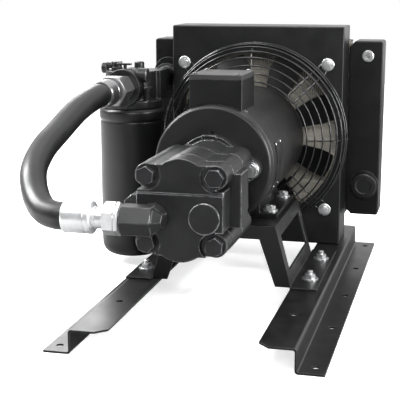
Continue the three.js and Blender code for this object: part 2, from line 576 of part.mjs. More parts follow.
// A figure-of-eight block that carries both gear shafts, one at each end of the gears.
function bearingBlockGeometry(y0) {
  const y1 = y0 + BEARING_BLOCK.length;
  const lobes = [AXIS_Z, DRIVEN_Z].map((z) => rodY(0, z, BEARING_BLOCK.lobeR, y0, y1, 20));
  const bores = [AXIS_Z, DRIVEN_Z].map((z) => rodY(0, z, BEARING_BLOCK.boreR, y0 - 1, y1 + 1, 16));
  return cut(join(...lobes), ...bores);
}

function pumpGearGeometry(z, turn, shaftFront) {
  const shaftR = SHAFT.driveR;
  const ends = BEARING_BLOCK.length + 1.3;
  const wheel = runY(gearOutline(turn), PUMP.gearBack + ends, PUMP.coverBack - ends).translate(0, 0, z);
  return join(wheel, rodY(0, z, shaftR, -418, shaftFront, 16));
}

function pumpBoltGeometry(x, z) {
  const seat = PUMP.boltSeat - CLEARANCE;
  const head = runY(hexagon(x, z, 19, Math.PI / 6), seat - 8, seat);
  const face = rodY(x, z, 8.6, seat - 9, seat - 7, 14);
  return join(head, face, rodY(x, z, PUMP.boltR, seat - 1, -302, 12));
}

function flangeBoltGeometry(side) {
  const x = side * PUMP.earX;
  const seat = PUMP.flangeBack - CLEARANCE;
  const washer = rodY(x, AXIS_Z, 10, seat - 2, seat, 16);
  const head = runY(hexagon(x, AXIS_Z, 16, Math.PI / 6), seat - 8.4, seat - 1);
  return join(washer, head, rodY(x, AXIS_Z, 5, seat - 2, MOTOR.front + 2, 12));
}

place('pump_front_cover', frontCoverGeometry(), castIron);
place('pump_gear_housing', gearHousingGeometry(), castIron);
place('pump_rear_cover', rearCoverGeometry(), castIron);
place('drive_gear', pumpGearGeometry(AXIS_Z, Math.PI / 2, -240), groundSteel);
place('driven_gear', pumpGearGeometry(DRIVEN_Z, Math.PI / 2 + Math.PI / GEAR.teeth, -322), groundSteel);
place('bearing_block_rear', bearingBlockGeometry(PUMP.gearBack + 0.8), bronze);
place('bearing_block_front', bearingBlockGeometry(PUMP.coverBack - 0.8 - BEARING_BLOCK.length), bronze);
place('pump_shaft_seal', tubeY(0, AXIS_Z, BEARING_BLOCK.sealR, BEARING_BLOCK.boreR, -316, -308, 16), blackRubber);
pumpBoltPlaces().forEach(([x, z], i) => place(`pump_bolt_${i + 1}`, pumpBoltGeometry(x, z), darkSteel));
place('flange_bolt_left', flangeBoltGeometry(-1), zincSteel);
place('flange_bolt_right', flangeBoltGeometry(1), zincSteel);
{
  const seat = PUMP.back - CLEARANCE;
  const cap = turnY(PUMP.portX, PUMP.portZ, [[0, seat - 3], [15, seat - 3], [16.5, seat - 1.5], [16.5, seat],
    [PUMP.portR - CLEARANCE, seat], [PUMP.portR - CLEARANCE, seat + 14], [0, seat + 14]], 24);
  place('pump_port_plug', cap, castIron);
}

// ---------------------------------------------------------------- suction elbow, hose and its fittings
function elbowGeometry() {
  const x = -PUMP.portX;
  const z = PUMP.portZ;
  const { y, hexRight, hexLeft } = ELBOW;
  const threadR = PUMP.portR - CLEARANCE;
  const seat = PUMP.back - CLEARANCE;
  const stem = rodY(x, z, threadR, seat - 2, seat + 14, 14);
  const shoulder = turnY(x, z, [[0, y], [17, y], [17, seat - 4], [15, seat], [0, seat]], 16);
  const leg = runX(hexagon(y, z, 33, 0), hexLeft, hexRight);
  const heel = new THREE.SphereGeometry(18.6, 14, 8).translate(x, y, z);
  const hollowLeg = rodX(y, z, 8, hexLeft - 1, x, 12);
  const hollowStem = rodY(x, z, 6, y, seat + 15, 12);
  return cut(join(stem, shoulder, leg, heel), hollowLeg, hollowStem);
}

function hoseRoute() {
  const { y } = ELBOW;
  const z = PUMP.portZ;
  const start = HOSE.lowerNeckX - HOSE.ferruleLength - CLEARANCE;
  const end = HOSE.upperNeckY - HOSE.ferruleLength - CLEARANCE;
  const points = [[start, y, z], [start - 8, y, z], [start - 26, y + 7, z + 3], [-172, -430, 173],
    [-187, -402, 196], [-192, -362, 216], [-190, -310, 234], [-184, -252, 255], [-178, -212, 264.5],
    [FILTER.x, end - 6, FILTER.portZ], [FILTER.x, end, FILTER.portZ]];
  return new THREE.CatmullRomCurve3(points.map((p) => new THREE.Vector3(...p)), false, 'centripetal');
}

function hoseGeometry() {
  const route = hoseRoute();
  const wall = new THREE.Shape();
  wall.absarc(0, 0, HOSE.r, 0, Math.PI * 2, false);
  const bore = new THREE.Path();
  bore.absarc(0, 0, 9.5, 0, Math.PI * 2, true);
  wall.holes.push(bore);
  return new THREE.ExtrudeGeometry(wall, { steps: 22, curveSegments: 6, extrudePath: route });
}

// The crimped collar, and the swivel nut on it, of one hose end. Built along +X with its mouth at x = 0.
function ferruleProfile() {
  const r = HOSE.ferruleR;
  const end = HOSE.ferruleLength;
  return [[8, -14], [12.2, -14], [12.2, 10], [r - 1, 13], [r, 15], [r, end - 1.5], [r - 1, end],
    [8, HOSE.ferruleLength], [8, -14]];
}

function swivelNut(acrossFlats, length) {
  const nut = new THREE.ExtrudeGeometry(hexagon(0, 0, acrossFlats), { depth: length, bevelEnabled: false });
  const bore = new THREE.CylinderGeometry(12.8, 12.8, length + 2, 16).rotateX(Math.PI / 2)
    .translate(0, 0, length / 2);
  return cut(nut, bore);
}

place('pump_elbow', elbowGeometry(), castIron);
{
  const { y, hexLeft } = ELBOW;
  const z = PUMP.portZ;
  const ferrule = turn(ferruleProfile(), 24);
  const nutStart = hexLeft - CLEARANCE;
  place('lower_swivel_nut', swivelNut(34, 20).rotateY(-Math.PI / 2).translate(nutStart, y, z), zincSteel);
  const lower = ferrule.clone().rotateZ(Math.PI / 2).translate(HOSE.lowerNeckX, y, z);
  place('lower_ferrule', lower, zincSteel);
  place('hose', hoseGeometry(), blackRubber);
  const upper = ferrule.clone().rotateX(Math.PI).translate(FILTER.x, HOSE.upperNeckY, FILTER.portZ);
  place('upper_ferrule', upper, darkSteel);
  const upperNut = swivelNut(40, 25).rotateX(-Math.PI / 2).translate(FILTER.x, -145, FILTER.portZ);
  place('upper_swivel_nut', upperNut, zincSteel);
}

// ---------------------------------------------------------------- filter
function filterHeadGeometry() {
  const { x, y, r, canTop, headTop, portZ } = FILTER;
  const flange = rodZ(x, y, r - 1, canTop + CLEARANCE, canTop + 12, 20);
  const middle = rodZ(x, y, 38, canTop + 10, headTop, 24);
  const inletBoss = rodY(x, portZ, 27, y - 46, y, 24);
  const outletBlock = block(x + 4, x + 44, y, y + 40, canTop + 10, headTop);
  const body = join(flange, middle, inletBoss, outletBlock);
  const chamber = rodZ(x, y, 33, canTop, canTop + 20, 24);
  const nippleWall = rodZ(x, y, 12, canTop - 12, canTop + 24, 16);
  const nippleBore = rodZ(x, y, 8, canTop - 14, headTop - 8, 14);
  const inlet = rodY(x, portZ, 10, y - 50, y - 20, 14);
  const drop = rodZ(x, y - 24, 6, canTop + 10, portZ, 8);
  const outlet = rodY(tankPorts(-1).large.x, 270, 9, y + 8, y + 44, 12);
  const cross = rodX(y + 14, 270, 7, x, tankPorts(-1).large.x, 8);
  const crossBack = rodY(x, 270, 7, y, y + 14, 8);
  return cut(join(cut(body, chamber), nippleWall), nippleBore, inlet, drop, outlet, cross, crossBack);
}

function canisterGeometry() {
  const { x, y, r, bottom, canTop } = FILTER;
  const wall = 1.6;
  return turnZ(x, y, [[0, bottom], [r - 14, bottom + 1.5], [r - 4, bottom + 7], [r, bottom + 16], [r, canTop - 16],
    [r + 1.2, canTop - 14], [r + 1.2, canTop - 4], [r - 2, canTop - CLEARANCE], [43.2, canTop - CLEARANCE],
    [43.2, canTop - 4], [36.8, canTop - 4], [36.8, canTop - 1.5], [14, canTop - 1.5],
    [12.5, canTop - 3], [12.5, canTop - 8], [r - wall - 4, canTop - 8], [r - wall, canTop - 18],
    [r - wall, bottom + 16], [r - wall - 4, bottom + 8.5], [r - 14, bottom + 3.2], [0, bottom + 1.8]], 20);
}

function elementGeometry() {
  const { x, y } = FILTER;
  const pleats = 22;
  const points = Array.from({ length: pleats * 2 }, (_, i) => {
    const angle = (i * Math.PI) / pleats;
    const radius = i % 2 ? 30 : 39;
    return [x + radius * Math.cos(angle), y + radius * Math.sin(angle)];
  });
  const shape = outline(points);
  const core = new THREE.Path();
  core.absarc(x, y, 16, 0, Math.PI * 2, true);
  shape.holes.push(core);
  return runZ(shape, FILTER.bottom + 24, FILTER.canTop - 22, 10);
}

// The sprung disc that closes the foot of the element, with the stem that guides it.
function bypassValveGeometry() {
  const { x, y, bottom } = FILTER;
  const seat = bottom + 24 - CLEARANCE;
  return turnZ(x, y, [[0, seat - 3], [19, seat - 3], [19, seat], [11, seat], [9, seat + 4], [3, seat + 5],
    [3, seat + 22], [0, seat + 22]], 16);
}

function headAdaptorGeometry() {
  const { x, y, portZ } = FILTER;
  const hex = runY(hexagon(x, portZ, 36), -119.7, -96.3);
  const bore = rodY(x, portZ, 7.5, -140, -70, 12);
  const male = rodY(x, portZ, 11.8, -127, -118, 16);
  const thread = rodY(x, portZ, 9.6, -97, y - 28, 14);
  return cut(join(hex, male, thread), bore);
}

function outletFittingGeometry() {
  const { x, z } = tankPorts(-1).large;
  const { y } = FILTER;
  const seat = CORE.front - 6 - CLEARANCE;
  const flange = block(x - 20, x + 20, y + 40 + CLEARANCE, y + 54, 252, 288);
  const pipe = rodY(x, z - 6, 13, y + 50, seat, 16);
  const collar = rodY(x, z, 19, seat - 12, seat, 24);
  const spigot = rodY(x, z, 11.5, seat - 1, seat + 8, 14);
  const bore = rodY(x, 272, 7, y + 30, seat + 12, 12);
  return cut(join(flange, pipe, collar, spigot), bore);
}

// A test coupling on the head's top, with its knurled cap lying out to the side.
function testPointGeometry() {
  const { x, y, headTop } = FILTER;
  const stem = rodZ(x - 24.5, y + 6, 8.5, headTop + CLEARANCE, 301, 14);
  const arm = rodX(y + 6, 295, 4.5, x - 40, x - 24, 12);
  const cap = rodX(y + 6, 291, 8, x - 47, x - 38.8, 14);
  return join(stem, arm, cap);
}

place('filter_head', filterHeadGeometry(), blackPaint);
place('filter_canister', canisterGeometry(), blackPaint);
place('filter_element', elementGeometry(), filterPaper);
place('filter_gasket', tubeZ(FILTER.x, FILTER.y, 42.5, 37.5, FILTER.canTop - 3.7, FILTER.canTop), blackRubber);
place('bypass_valve', bypassValveGeometry(), darkSteel);
place('head_adaptor', headAdaptorGeometry(), darkSteel);
place('outlet_fitting', outletFittingGeometry(), blackPaint);
place('pressure_test_point', testPointGeometry(), blackPaint);
{
  const { x, y, headTop } = FILTER;
  const plug = turnZ(x + 9, y + 10, [[0, headTop + CLEARANCE], [8.5, headTop + CLEARANCE], [8.5, 300], [7.5, 301],
    [0, 301]], 14);
  place('bleed_plug', plug, blackPaint);
}

// ---------------------------------------------------------------- origin: centre of the footprint
const extent = new THREE.Box3().setFromObject(oilCooler);
const middle = extent.getCenter(new THREE.Vector3());
oilCooler.position.set(-middle.x, -middle.y, -extent.min.z);

export default oilCooler;
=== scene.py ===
"""Looks of an off-line hydraulic oil cooler: motor, gear pump, fan cooler, hose and filter on base rails.

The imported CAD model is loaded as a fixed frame. Every piece here is shaped in millimetres on the layout's
own axes: X = 0 is the motor axis, Y = 0 the front face of the fan shroud, Z = 0 the floor.
"""

import json
import logging
import math
from collections.abc import Callable, Iterable, Sequence
from dataclasses import dataclass
from enum import Enum

import bmesh
import bpy
from mathutils import Euler, Matrix, Vector


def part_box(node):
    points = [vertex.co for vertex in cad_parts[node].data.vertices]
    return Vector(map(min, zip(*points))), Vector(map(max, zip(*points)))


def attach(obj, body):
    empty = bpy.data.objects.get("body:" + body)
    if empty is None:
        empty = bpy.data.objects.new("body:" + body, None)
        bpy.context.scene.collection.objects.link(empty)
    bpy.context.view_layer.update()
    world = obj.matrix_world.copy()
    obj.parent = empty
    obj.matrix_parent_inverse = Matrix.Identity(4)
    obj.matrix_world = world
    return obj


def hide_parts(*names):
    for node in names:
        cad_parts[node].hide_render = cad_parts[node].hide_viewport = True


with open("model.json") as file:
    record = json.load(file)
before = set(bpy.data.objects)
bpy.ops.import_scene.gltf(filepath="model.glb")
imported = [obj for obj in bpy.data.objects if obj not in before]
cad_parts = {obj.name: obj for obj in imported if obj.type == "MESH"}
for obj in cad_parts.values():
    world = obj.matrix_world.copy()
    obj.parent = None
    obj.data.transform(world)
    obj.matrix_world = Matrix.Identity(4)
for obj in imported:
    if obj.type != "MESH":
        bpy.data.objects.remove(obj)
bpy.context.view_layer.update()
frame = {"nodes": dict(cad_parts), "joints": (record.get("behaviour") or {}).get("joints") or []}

LOG = logging.getLogger("oil_cooler")
MM = 0.001
AXIS_POINT = Vector(frame["joints"][0]["pos_m"])
SHROUD_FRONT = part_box("fan_shroud")[0].y
DATUM = Vector((AXIS_POINT.x, SHROUD_FRONT, 0.0))
AXIS_Z = AXIS_POINT.z / MM
FRAME_BODY = "frame"
ROTOR_BODY = "rotor"
DENSE_SKIN = 20000
SIDES = (("left", -1), ("right", 1))


class Axis(Enum):
    """The layout axis along which a shape is drawn out or turned."""

    X = Vector((1, 0, 0))
    Y = Vector((0, 1, 0))
    Z = Vector((0, 0, 1))


class Blend(Enum):
    """How one solid is combined with others."""

    JOIN = "UNION"
    CUT = "DIFFERENCE"
    MEET = "INTERSECT"


def span(node: str) -> tuple[Vector, Vector]:
    """Gives a CAD node's box on the layout's axes.

    Args:
        node: name of the CAD node.

    Returns:
        Lowest and highest corner, in millimetres.
    """
    low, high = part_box(node)
    return (low - DATUM) / MM, (high - DATUM) / MM


def middle(node: str) -> Vector:
    """Gives the centre of a CAD node's box, in millimetres on the layout's axes."""
    low, high = span(node)
    return (low + high) / 2


def aimed(axis: Axis, place: Sequence[float]) -> Matrix:
    """Gives the placement that turns +Z onto an axis and shifts the origin to a point."""
    turn = Vector((0, 0, 1)).rotation_difference(axis.value).to_matrix().to_4x4()
    return Matrix.Translation(place) @ turn


def discard(*used: bpy.types.Object) -> None:
    """Deletes working objects together with their meshes."""
    for holder in used:
        mesh = holder.data
        bpy.data.objects.remove(holder)
        bpy.data.meshes.remove(mesh)


# ------------------------------------------------------------------------------------------ shapes


class Shape:
    """A closed mesh in the making, in millimetres on the layout's axes."""

    def __init__(self, bm: bmesh.types.BMesh) -> None:
        """Keeps the mesh that the other methods change."""
        self.bm = bm

    # ---- beginnings

    @classmethod
    def rod(cls, start: Sequence[float], end: Sequence[float], radius: float, sides: int = 48,
            end_radius: float | None = None) -> "Shape":
        """Makes a solid rod, or a cone where the end radius differs.

        Args:
            start: centre of one end.
            end: centre of the other end.
            radius: radius at the start.
            sides: number of facets round it.
            end_radius: radius at the end, if it isn't the same.

        Returns:
            The new shape.
        """
        a, b = Vector(start), Vector(end)
        bm = bmesh.new()
        bmesh.ops.create_cone(bm, cap_ends=True, segments=sides, radius1=radius,
                              radius2=radius if end_radius is None else end_radius,
                              depth=(b - a).length)
        turn = Vector((0, 0, 1)).rotation_difference(b - a).to_matrix().to_4x4()
        bmesh.ops.transform(bm, matrix=Matrix.Translation((a + b) / 2) @ turn, verts=bm.verts)
        return cls(bm)

    @classmethod
    def block(cls, low: Sequence[float], high: Sequence[float]) -> "Shape":
        """Makes a box.

        Args:
            low: its lowest corner.
            high: its highest corner.

        Returns:
            The new shape.
        """
        a, b = Vector(low), Vector(high)
        bm = bmesh.new()
        size = Matrix.Diagonal((*(b - a), 1))
        bmesh.ops.create_cube(bm, size=1, matrix=Matrix.Translation((a + b) / 2) @ size)
        return cls(bm)

    @classmethod
    def turned(cls, centre: Sequence[float], axis: Axis, profile: Sequence[tuple[float, float]],
               sides: int = 64) -> "Shape":
        """Spins a profile round an axis.

        Args:
            centre: a point of the axis; its coordinate along the axis is added to the profile's.
            axis: direction of the axis.
            profile: points (radius, distance along the axis). It closes on itself, or both its ends
                lie on the axis.
            sides: number of steps round the axis.

        Returns:
            The new shape.
        """
        bm = bmesh.new()
        verts = [bm.verts.new((r, 0, a)) for r, a in profile]
        edges = [bm.edges.new(pair) for pair in zip(verts, verts[1:])]
        if profile[0][0] > 0:
            edges.append(bm.edges.new((verts[-1], verts[0])))
        bmesh.ops.spin(bm, geom=verts + edges, cent=(0, 0, 0), axis=(0, 0, 1), angle=2 * math.pi,
                       steps=sides, use_merge=True, use_duplicate=False)
        bmesh.ops.remove_doubles(bm, verts=bm.verts, dist=1e-4)
        bmesh.ops.recalc_face_normals(bm, faces=bm.faces)
        bmesh.ops.transform(bm, matrix=aimed(axis, centre), verts=bm.verts)
        return cls(bm)

    @classmethod
    def tube(cls, centre: Sequence[float], axis: Axis, outer: float, inner: float, start: float,
             end: float, sides: int = 64) -> "Shape":
        """Makes a plain ring or tube with a square section."""
        return cls.turned(centre, axis, [(inner, start), (outer, start), (outer, end), (inner, end)], sides)

    @classmethod
    def torus(cls, centre: Sequence[float], axis: Axis, radius: float, wire: float,
              sides: int = 128) -> "Shape":
        """Makes a ring of round wire.

        Args:
            centre: the ring's centre.
            axis: the ring's axis.
            radius: from the centre to the middle of the wire.
            wire: radius of the wire.
            sides: number of steps round the ring.

        Returns:
            The new shape.
        """
        bm = bmesh.new()
        circle = bmesh.ops.create_circle(bm, segments=8, radius=wire,
                                         matrix=Matrix.Rotation(math.pi / 2, 4, "X"))["verts"]
        bmesh.ops.translate(bm, verts=circle, vec=(radius, 0, 0))
        bmesh.ops.spin(bm, geom=bm.verts[:] + bm.edges[:], cent=(0, 0, 0), axis=(0, 0, 1),
                       angle=2 * math.pi, steps=sides, use_merge=True, use_duplicate=False)
        bmesh.ops.recalc_face_normals(bm, faces=bm.faces)
        bmesh.ops.transform(bm, matrix=aimed(axis, centre), verts=bm.verts)
        return cls(bm)

    @classmethod
    def plate(cls, outline: Sequence[tuple[float, ...]], axis: Axis, start: float, end: float,
              steps: int = 4) -> "Shape":
        """Draws a flat outline out along an axis, after rounding the corners that have a radius.

        Args:
            outline: corners, on the two other axes in X, Y, Z order, each followed by its radius if it
                is a rounded one.
            axis: direction in which the outline is drawn out.
            start: where it begins on that axis.
            end: where it ends.
            steps: facets in each rounded corner.

        Returns:
            The new shape.
        """
        lift = {Axis.X: lambda a, b: (start, a, b), Axis.Y: lambda a, b: (a, start, b),
                Axis.Z: lambda a, b: (a, b, start)}[axis]
        bm = bmesh.new()
        verts = [bm.verts.new(lift(*corner[:2])) for corner in outline]
        bm.faces.new(verts)
        radii = [corner[2] if len(corner) > 2 else 0 for corner in outline]
        for radius in sorted({r for r in radii if r > 0}):
            corners = [v for v, r in zip(verts, radii) if r == radius and v.is_valid]
            bmesh.ops.bevel(bm, geom=corners, offset=radius, offset_type="OFFSET", segments=steps,
                            profile=0.5, affect="VERTICES", material=-1)
        grown = bmesh.ops.extrude_face_region(bm, geom=bm.faces[:])["geom"]
        moved = [g for g in grown if isinstance(g, bmesh.types.BMVert)]
        bmesh.ops.translate(bm, verts=moved, vec=axis.value * (end - start))
        bmesh.ops.recalc_face_normals(bm, faces=bm.faces)
        return cls(bm)

    @classmethod
    def hexagon(cls, centre: Sequence[float], axis: Axis, across_flats: float, start: float, end: float,
                turn: float = 0.0, chamfer: float = 0.0) -> "Shape":
        """Makes a hexagonal prism such as a bolt head.

        Args:
            centre: a point of its axis.
            axis: direction of its axis.
            across_flats: distance between opposite flats.
            start: where it begins along the axis.
            end: where it ends.
            turn: angle of its corners about the axis.
            chamfer: height over which its corners are turned off at both ends.

        Returns:
            The new shape.
        """
        corner = across_flats / math.sqrt(3)
        bm = bmesh.new()
        bmesh.ops.create_cone(bm, cap_ends=True, segments=6, radius1=corner, radius2=corner,
                              depth=end - start)
        place = aimed(axis, Vector(centre) + axis.value * (start + end) / 2)
        bmesh.ops.transform(bm, matrix=place @ Matrix.Rotation(turn, 4, "Z"), verts=bm.verts)
        prism = cls(bm)
        if chamfer:
            face, round_corner = corner - chamfer * 1.7, corner + 0.2
            cone = cls.turned(centre, axis, [(0, start), (face, start), (round_corner, start + chamfer),
                                             (round_corner, end - chamfer), (face, end), (0, end)], 48)
            prism = prism.combined([cone], Blend.MEET)
        return prism

    @classmethod
    def wire(cls, points: Sequence[Sequence[float]], radius: float, smooth: bool = True) -> "Shape":
        """Runs a round wire along points.

        Args:
            points: where it runs.
            radius: radius of the wire.
            smooth: whether it is rounded at the points or bent sharply.

        Returns:
            The new shape.
        """
        curve = bpy.data.curves.new("wire", "CURVE")
        curve.dimensions = "3D"
        curve.bevel_depth = radius
        curve.bevel_resolution = 2
        curve.use_fill_caps = True
        spline = curve.splines.new("NURBS" if smooth else "POLY")
        spline.points.add(len(points) - 1)
        for point, place in zip(spline.points, points):
            point.co = (*place, 1)
        if smooth:
            spline.use_endpoint_u = True
            spline.order_u = 3
            spline.resolution_u = 4
        holder = bpy.data.objects.new("wire", curve)
        bpy.context.scene.collection.objects.link(holder)
        mesh = bpy.data.meshes.new_from_object(holder)
        bpy.data.objects.remove(holder)
        bpy.data.curves.remove(curve)
        shape = cls.from_mesh(mesh)
        bpy.data.meshes.remove(mesh)
        bmesh.ops.remove_doubles(shape.bm, verts=shape.bm.verts, dist=1e-3)
        bmesh.ops.recalc_face_normals(shape.bm, faces=shape.bm.faces)
        return shape

    @classmethod
    def from_mesh(cls, mesh: bpy.types.Mesh) -> "Shape":
        """Copies a mesh datablock."""
        bm = bmesh.new()
        bm.from_mesh(mesh)
        return cls(bm)

    @classmethod
    def from_node(cls, node: str) -> "Shape":
        """Copies a CAD node, with its loose triangles merged and its flat ones cleared away.

        Args:
            node: name of the CAD node.

        Returns:
            The copy.
        """
        shape = cls.from_mesh(frame["nodes"][node].data)
        to_layout = Matrix.Scale(1 / MM, 4) @ Matrix.Translation(-DATUM)
        bmesh.ops.transform(shape.bm, matrix=to_layout, verts=shape.bm.verts)
        bmesh.ops.remove_doubles(shape.bm, verts=shape.bm.verts, dist=0.01)
        bmesh.ops.dissolve_limit(shape.bm, angle_limit=math.radians(1.0), verts=shape.bm.verts,
                                 edges=shape.bm.edges)
        return shape

    # ---- changes

    def with_(self, *others: "Shape") -> "Shape":
        """Adds other closed shapes to the same mesh without cutting them together.

        Args:
            *others: the shapes to add.

        Returns:
            This shape.
        """
        for other in others:
            mesh = other.to_mesh("part")
            self.bm.from_mesh(mesh)
            bpy.data.meshes.remove(mesh)
        return self

    def combined(self, others: Iterable["Shape"], how: Blend) -> "Shape":
        """Joins, cuts or meets this solid with others.

        Args:
            others: the solids to combine with.
            how: union, difference or intersection.

        Returns:
            The resulting solid.
        """
        base = self.held("base")
        tools = [other.held("tool") for other in others]
        for tool in tools:
            modifier = base.modifiers.new("combine", "BOOLEAN")
            modifier.operation = how.value
            modifier.solver = "MANIFOLD"
            modifier.object = tool
        result = Shape.evaluated(base)
        discard(base, *tools)
        return result

    @classmethod
    def evaluated(cls, holder: bpy.types.Object) -> "Shape":
        """Copies an object's mesh as its modifiers leave it.

        Args:
            holder: the object.

        Returns:
            The copy.
        """
        graph = bpy.context.evaluated_depsgraph_get()
        mesh = bpy.data.meshes.new_from_object(holder.evaluated_get(graph))
        shape = cls.from_mesh(mesh)
        bpy.data.meshes.remove(mesh)
        return shape

    def join(self, *others: "Shape") -> "Shape":
        """Gives the union of this solid and others."""
        return self.combined(others, Blend.JOIN)

    def cut(self, *others: "Shape") -> "Shape":
        """Gives this solid with others cut out of it."""
        return self.combined(others, Blend.CUT)

    def cast(self, voxel: float, rounds: int) -> "Shape":
        """Rounds every edge and corner as in a casting or a forging.

        Args:
            voxel: size of the even grid that the skin is rebuilt on.
            rounds: how many times the skin is smoothed.

        Returns:
            The rounded solid.
        """
        holder = self.held("cast")
        remesh = holder.modifiers.new("skin", "REMESH")
        remesh.mode = "VOXEL"
        remesh.voxel_size = voxel
        relax = holder.modifiers.new("relax", "SMOOTH")
        relax.factor = 0.5
        relax.iterations = rounds
        result = Shape.evaluated(holder)
        discard(holder)
        return result

    def bevelled(self, width: float, segments: int = 2, sharper_than: float = 28.0,
                 chosen: Callable[[bmesh.types.BMEdge], bool] | None = None) -> "Shape":
        """Rounds the edges that turn more sharply than an angle.

        Args:
            width: how far the rounding reaches from the edge.
            segments: steps in the rounding.
            sharper_than: smallest turn, in degrees, that is rounded.
            chosen: test that picks the edges among the sharp ones.

        Returns:
            This shape.
        """
        limit = math.radians(sharper_than)
        edges = [e for e in self.bm.edges if e.is_manifold and e.calc_face_angle(0.0) > limit
                 and (chosen is None or chosen(e))]
        bmesh.ops.bevel(self.bm, geom=edges, offset=width, offset_type="OFFSET", segments=segments,
                        profile=0.5, affect="EDGES", clamp_overlap=True, material=-1)
        return self

    def moved(self, x: float = 0.0, y: float = 0.0, z: float = 0.0) -> "Shape":
        """Shifts the shape."""
        bmesh.ops.translate(self.bm, verts=self.bm.verts, vec=(x, y, z))
        return self

    def rotated(self, angle: float, axis: Axis, about: Sequence[float]) -> "Shape":
        """Turns the shape round an axis through a point."""
        turn = Matrix.Rotation(angle, 3, axis.value)
        bmesh.ops.rotate(self.bm, verts=self.bm.verts, cent=about, matrix=turn)
        return self

    def copied(self) -> "Shape":
        """Gives a copy."""
        return Shape(self.bm.copy())

    # ---- ends

    def to_mesh(self, name: str) -> bpy.types.Mesh:
        """Writes the shape, still in millimetres, to a new mesh datablock."""
        mesh = bpy.data.meshes.new(name)
        self.bm.to_mesh(mesh)
        return mesh

    def held(self, name: str) -> bpy.types.Object:
        """Links the shape to the scene as a working object, which discard deletes again."""
        holder = bpy.data.objects.new(name, self.to_mesh(name))
        bpy.context.scene.collection.objects.link(holder)
        return holder


def hull_of_circles(circles: Sequence[tuple[float, float, float]], axis: Axis, start: float,
                    end: float) -> Shape:
    """Wraps a straight-sided solid round several discs, as a flange is drawn round its bosses.

    Args:
        circles: (first, second coordinate, radius) of each disc, in X, Y, Z order.
        axis: direction of the discs' thickness.
        start: where the solid begins on that axis.
        end: where it ends.

    Returns:
        The convex solid.
    """
    bm = bmesh.new()
    for a, b, radius in circles:
        centre = {Axis.X: Vector((0, a, b)), Axis.Y: Vector((a, 0, b)), Axis.Z: Vector((a, b, 0))}[axis]
        rod = Shape.rod(centre + axis.value * start, centre + axis.value * end, radius)
        mesh = rod.to_mesh("disc")
        bm.from_mesh(mesh)
        bpy.data.meshes.remove(mesh)
    wrapped = bmesh.ops.convex_hull(bm, input=bm.verts[:])
    left_over = wrapped["geom_interior"] + wrapped["geom_unused"]
    spare = {g for g in left_over if isinstance(g, bmesh.types.BMVert)}
    bmesh.ops.delete(bm, geom=list(spare), context="VERTS")
    outside = {f for f in wrapped["geom"] if isinstance(f, bmesh.types.BMFace)}
    inner = [f for f in bm.faces if f not in outside]
    bmesh.ops.delete(bm, geom=inner, context="FACES_ONLY")
    bmesh.ops.dissolve_limit(bm, angle_limit=math.radians(1.0), verts=bm.verts, edges=bm.edges)
    bmesh.ops.recalc_face_normals(bm, faces=bm.faces)
    return Shape(bm)


# ---------------------------------------------------------------------------------------- finishes


class Marks(Enum):
    """Working marks that a finish carries in its skin."""

    NONE = (1.0, 1.0, 1.0)
    ALONG_X = (0.04, 1.0, 1.0)
    ALONG_Y = (1.0, 0.04, 1.0)
    ALONG_Z = (1.0, 1.0, 0.04)


class Tree:
    """A node tree with short calls to place and join nodes."""

    def __init__(self, tree: bpy.types.NodeTree) -> None:
        """Keeps the tree."""
        self.tree = tree

    def put(self, kind: str, inputs: dict[str | int, object] | None = None,
            **settings: object) -> bpy.types.Node:
        """Places a node.

        Args:
            kind: the node's Blender type.
            inputs: for each input, a value or an output socket to join to it.
            **settings: the node's own settings.

        Returns:
            The node.
        """
        node = self.tree.nodes.new(kind)
        for key, value in settings.items():
            setattr(node, key, value)
        for key, value in (inputs or {}).items():
            if isinstance(value, bpy.types.NodeSocket):
                self.tree.links.new(value, node.inputs[key])
            else:
                node.inputs[key].default_value = value
        return node

    def sum(self, how: str, a: object, b: object, clamp: bool = False) -> bpy.types.NodeSocket:
        """Gives one arithmetic result of two values or sockets."""
        return self.put("ShaderNodeMath", {0: a, 1: b}, operation=how, use_clamp=clamp).outputs[0]

    def ramp(self, value: bpy.types.NodeSocket, low: float, high: float, start: float = 0.0,
             end: float = 1.0) -> bpy.types.NodeSocket:
        """Gives a value that runs evenly from start to end while another runs from low to high."""
        return self.put("ShaderNodeMapRange", {"Value": value, "From Min": low, "From Max": high,
                                               "To Min": start, "To Max": end}).outputs[0]

    def blend(self, mask: object, a: object, b: object) -> bpy.types.NodeSocket:
        """Mixes two colours by a mask."""
        node = self.put("ShaderNodeMix", {"Factor": mask, 6: a, 7: b}, data_type="RGBA")
        return node.outputs[2]


class Effect:
    """A shader node group that several finishes share, built once."""

    def __init__(self, name: str, inputs: dict[str, tuple[str, object]], outputs: dict[str, str]) -> None:
        """Makes the group and its sockets.

        Args:
            name: name of the group.
            inputs: socket kind and first value of each input.
            outputs: socket kind of each output.
        """
        self.group = bpy.data.node_groups.new(name, "ShaderNodeTree")
        for label, (kind, value) in inputs.items():
            socket = self.group.interface.new_socket(name=label, in_out="INPUT", socket_type=kind)
            socket.default_value = value
        for label, kind in outputs.items():
            self.group.interface.new_socket(name=label, in_out="OUTPUT", socket_type=kind)
        self.tree = Tree(self.group)
        self.given = self.tree.put("NodeGroupInput").outputs
        self.result = self.tree.put("NodeGroupOutput").inputs

    def out(self, label: str, socket: bpy.types.NodeSocket) -> None:
        """Joins a socket to one of the group's outputs."""
        self.group.links.new(socket, self.result[label])

    def use(self, tree: Tree, inputs: dict[str, object]) -> bpy.types.Node:
        """Places the group in a material.

        Args:
            tree: the material's tree.
            inputs: the material's own value for each input it sets.

        Returns:
            The group's node.
        """
        node = tree.put("ShaderNodeGroup", node_tree=self.group)
        for key, value in inputs.items():
            node.inputs[key].default_value = value
        return node


FLOAT, COLOUR, VECTOR = "NodeSocketFloat", "NodeSocketColor", "NodeSocketVector"
DUST_TONE = (0.34, 0.33, 0.31, 1)
ROUGH_SWING = 0.14


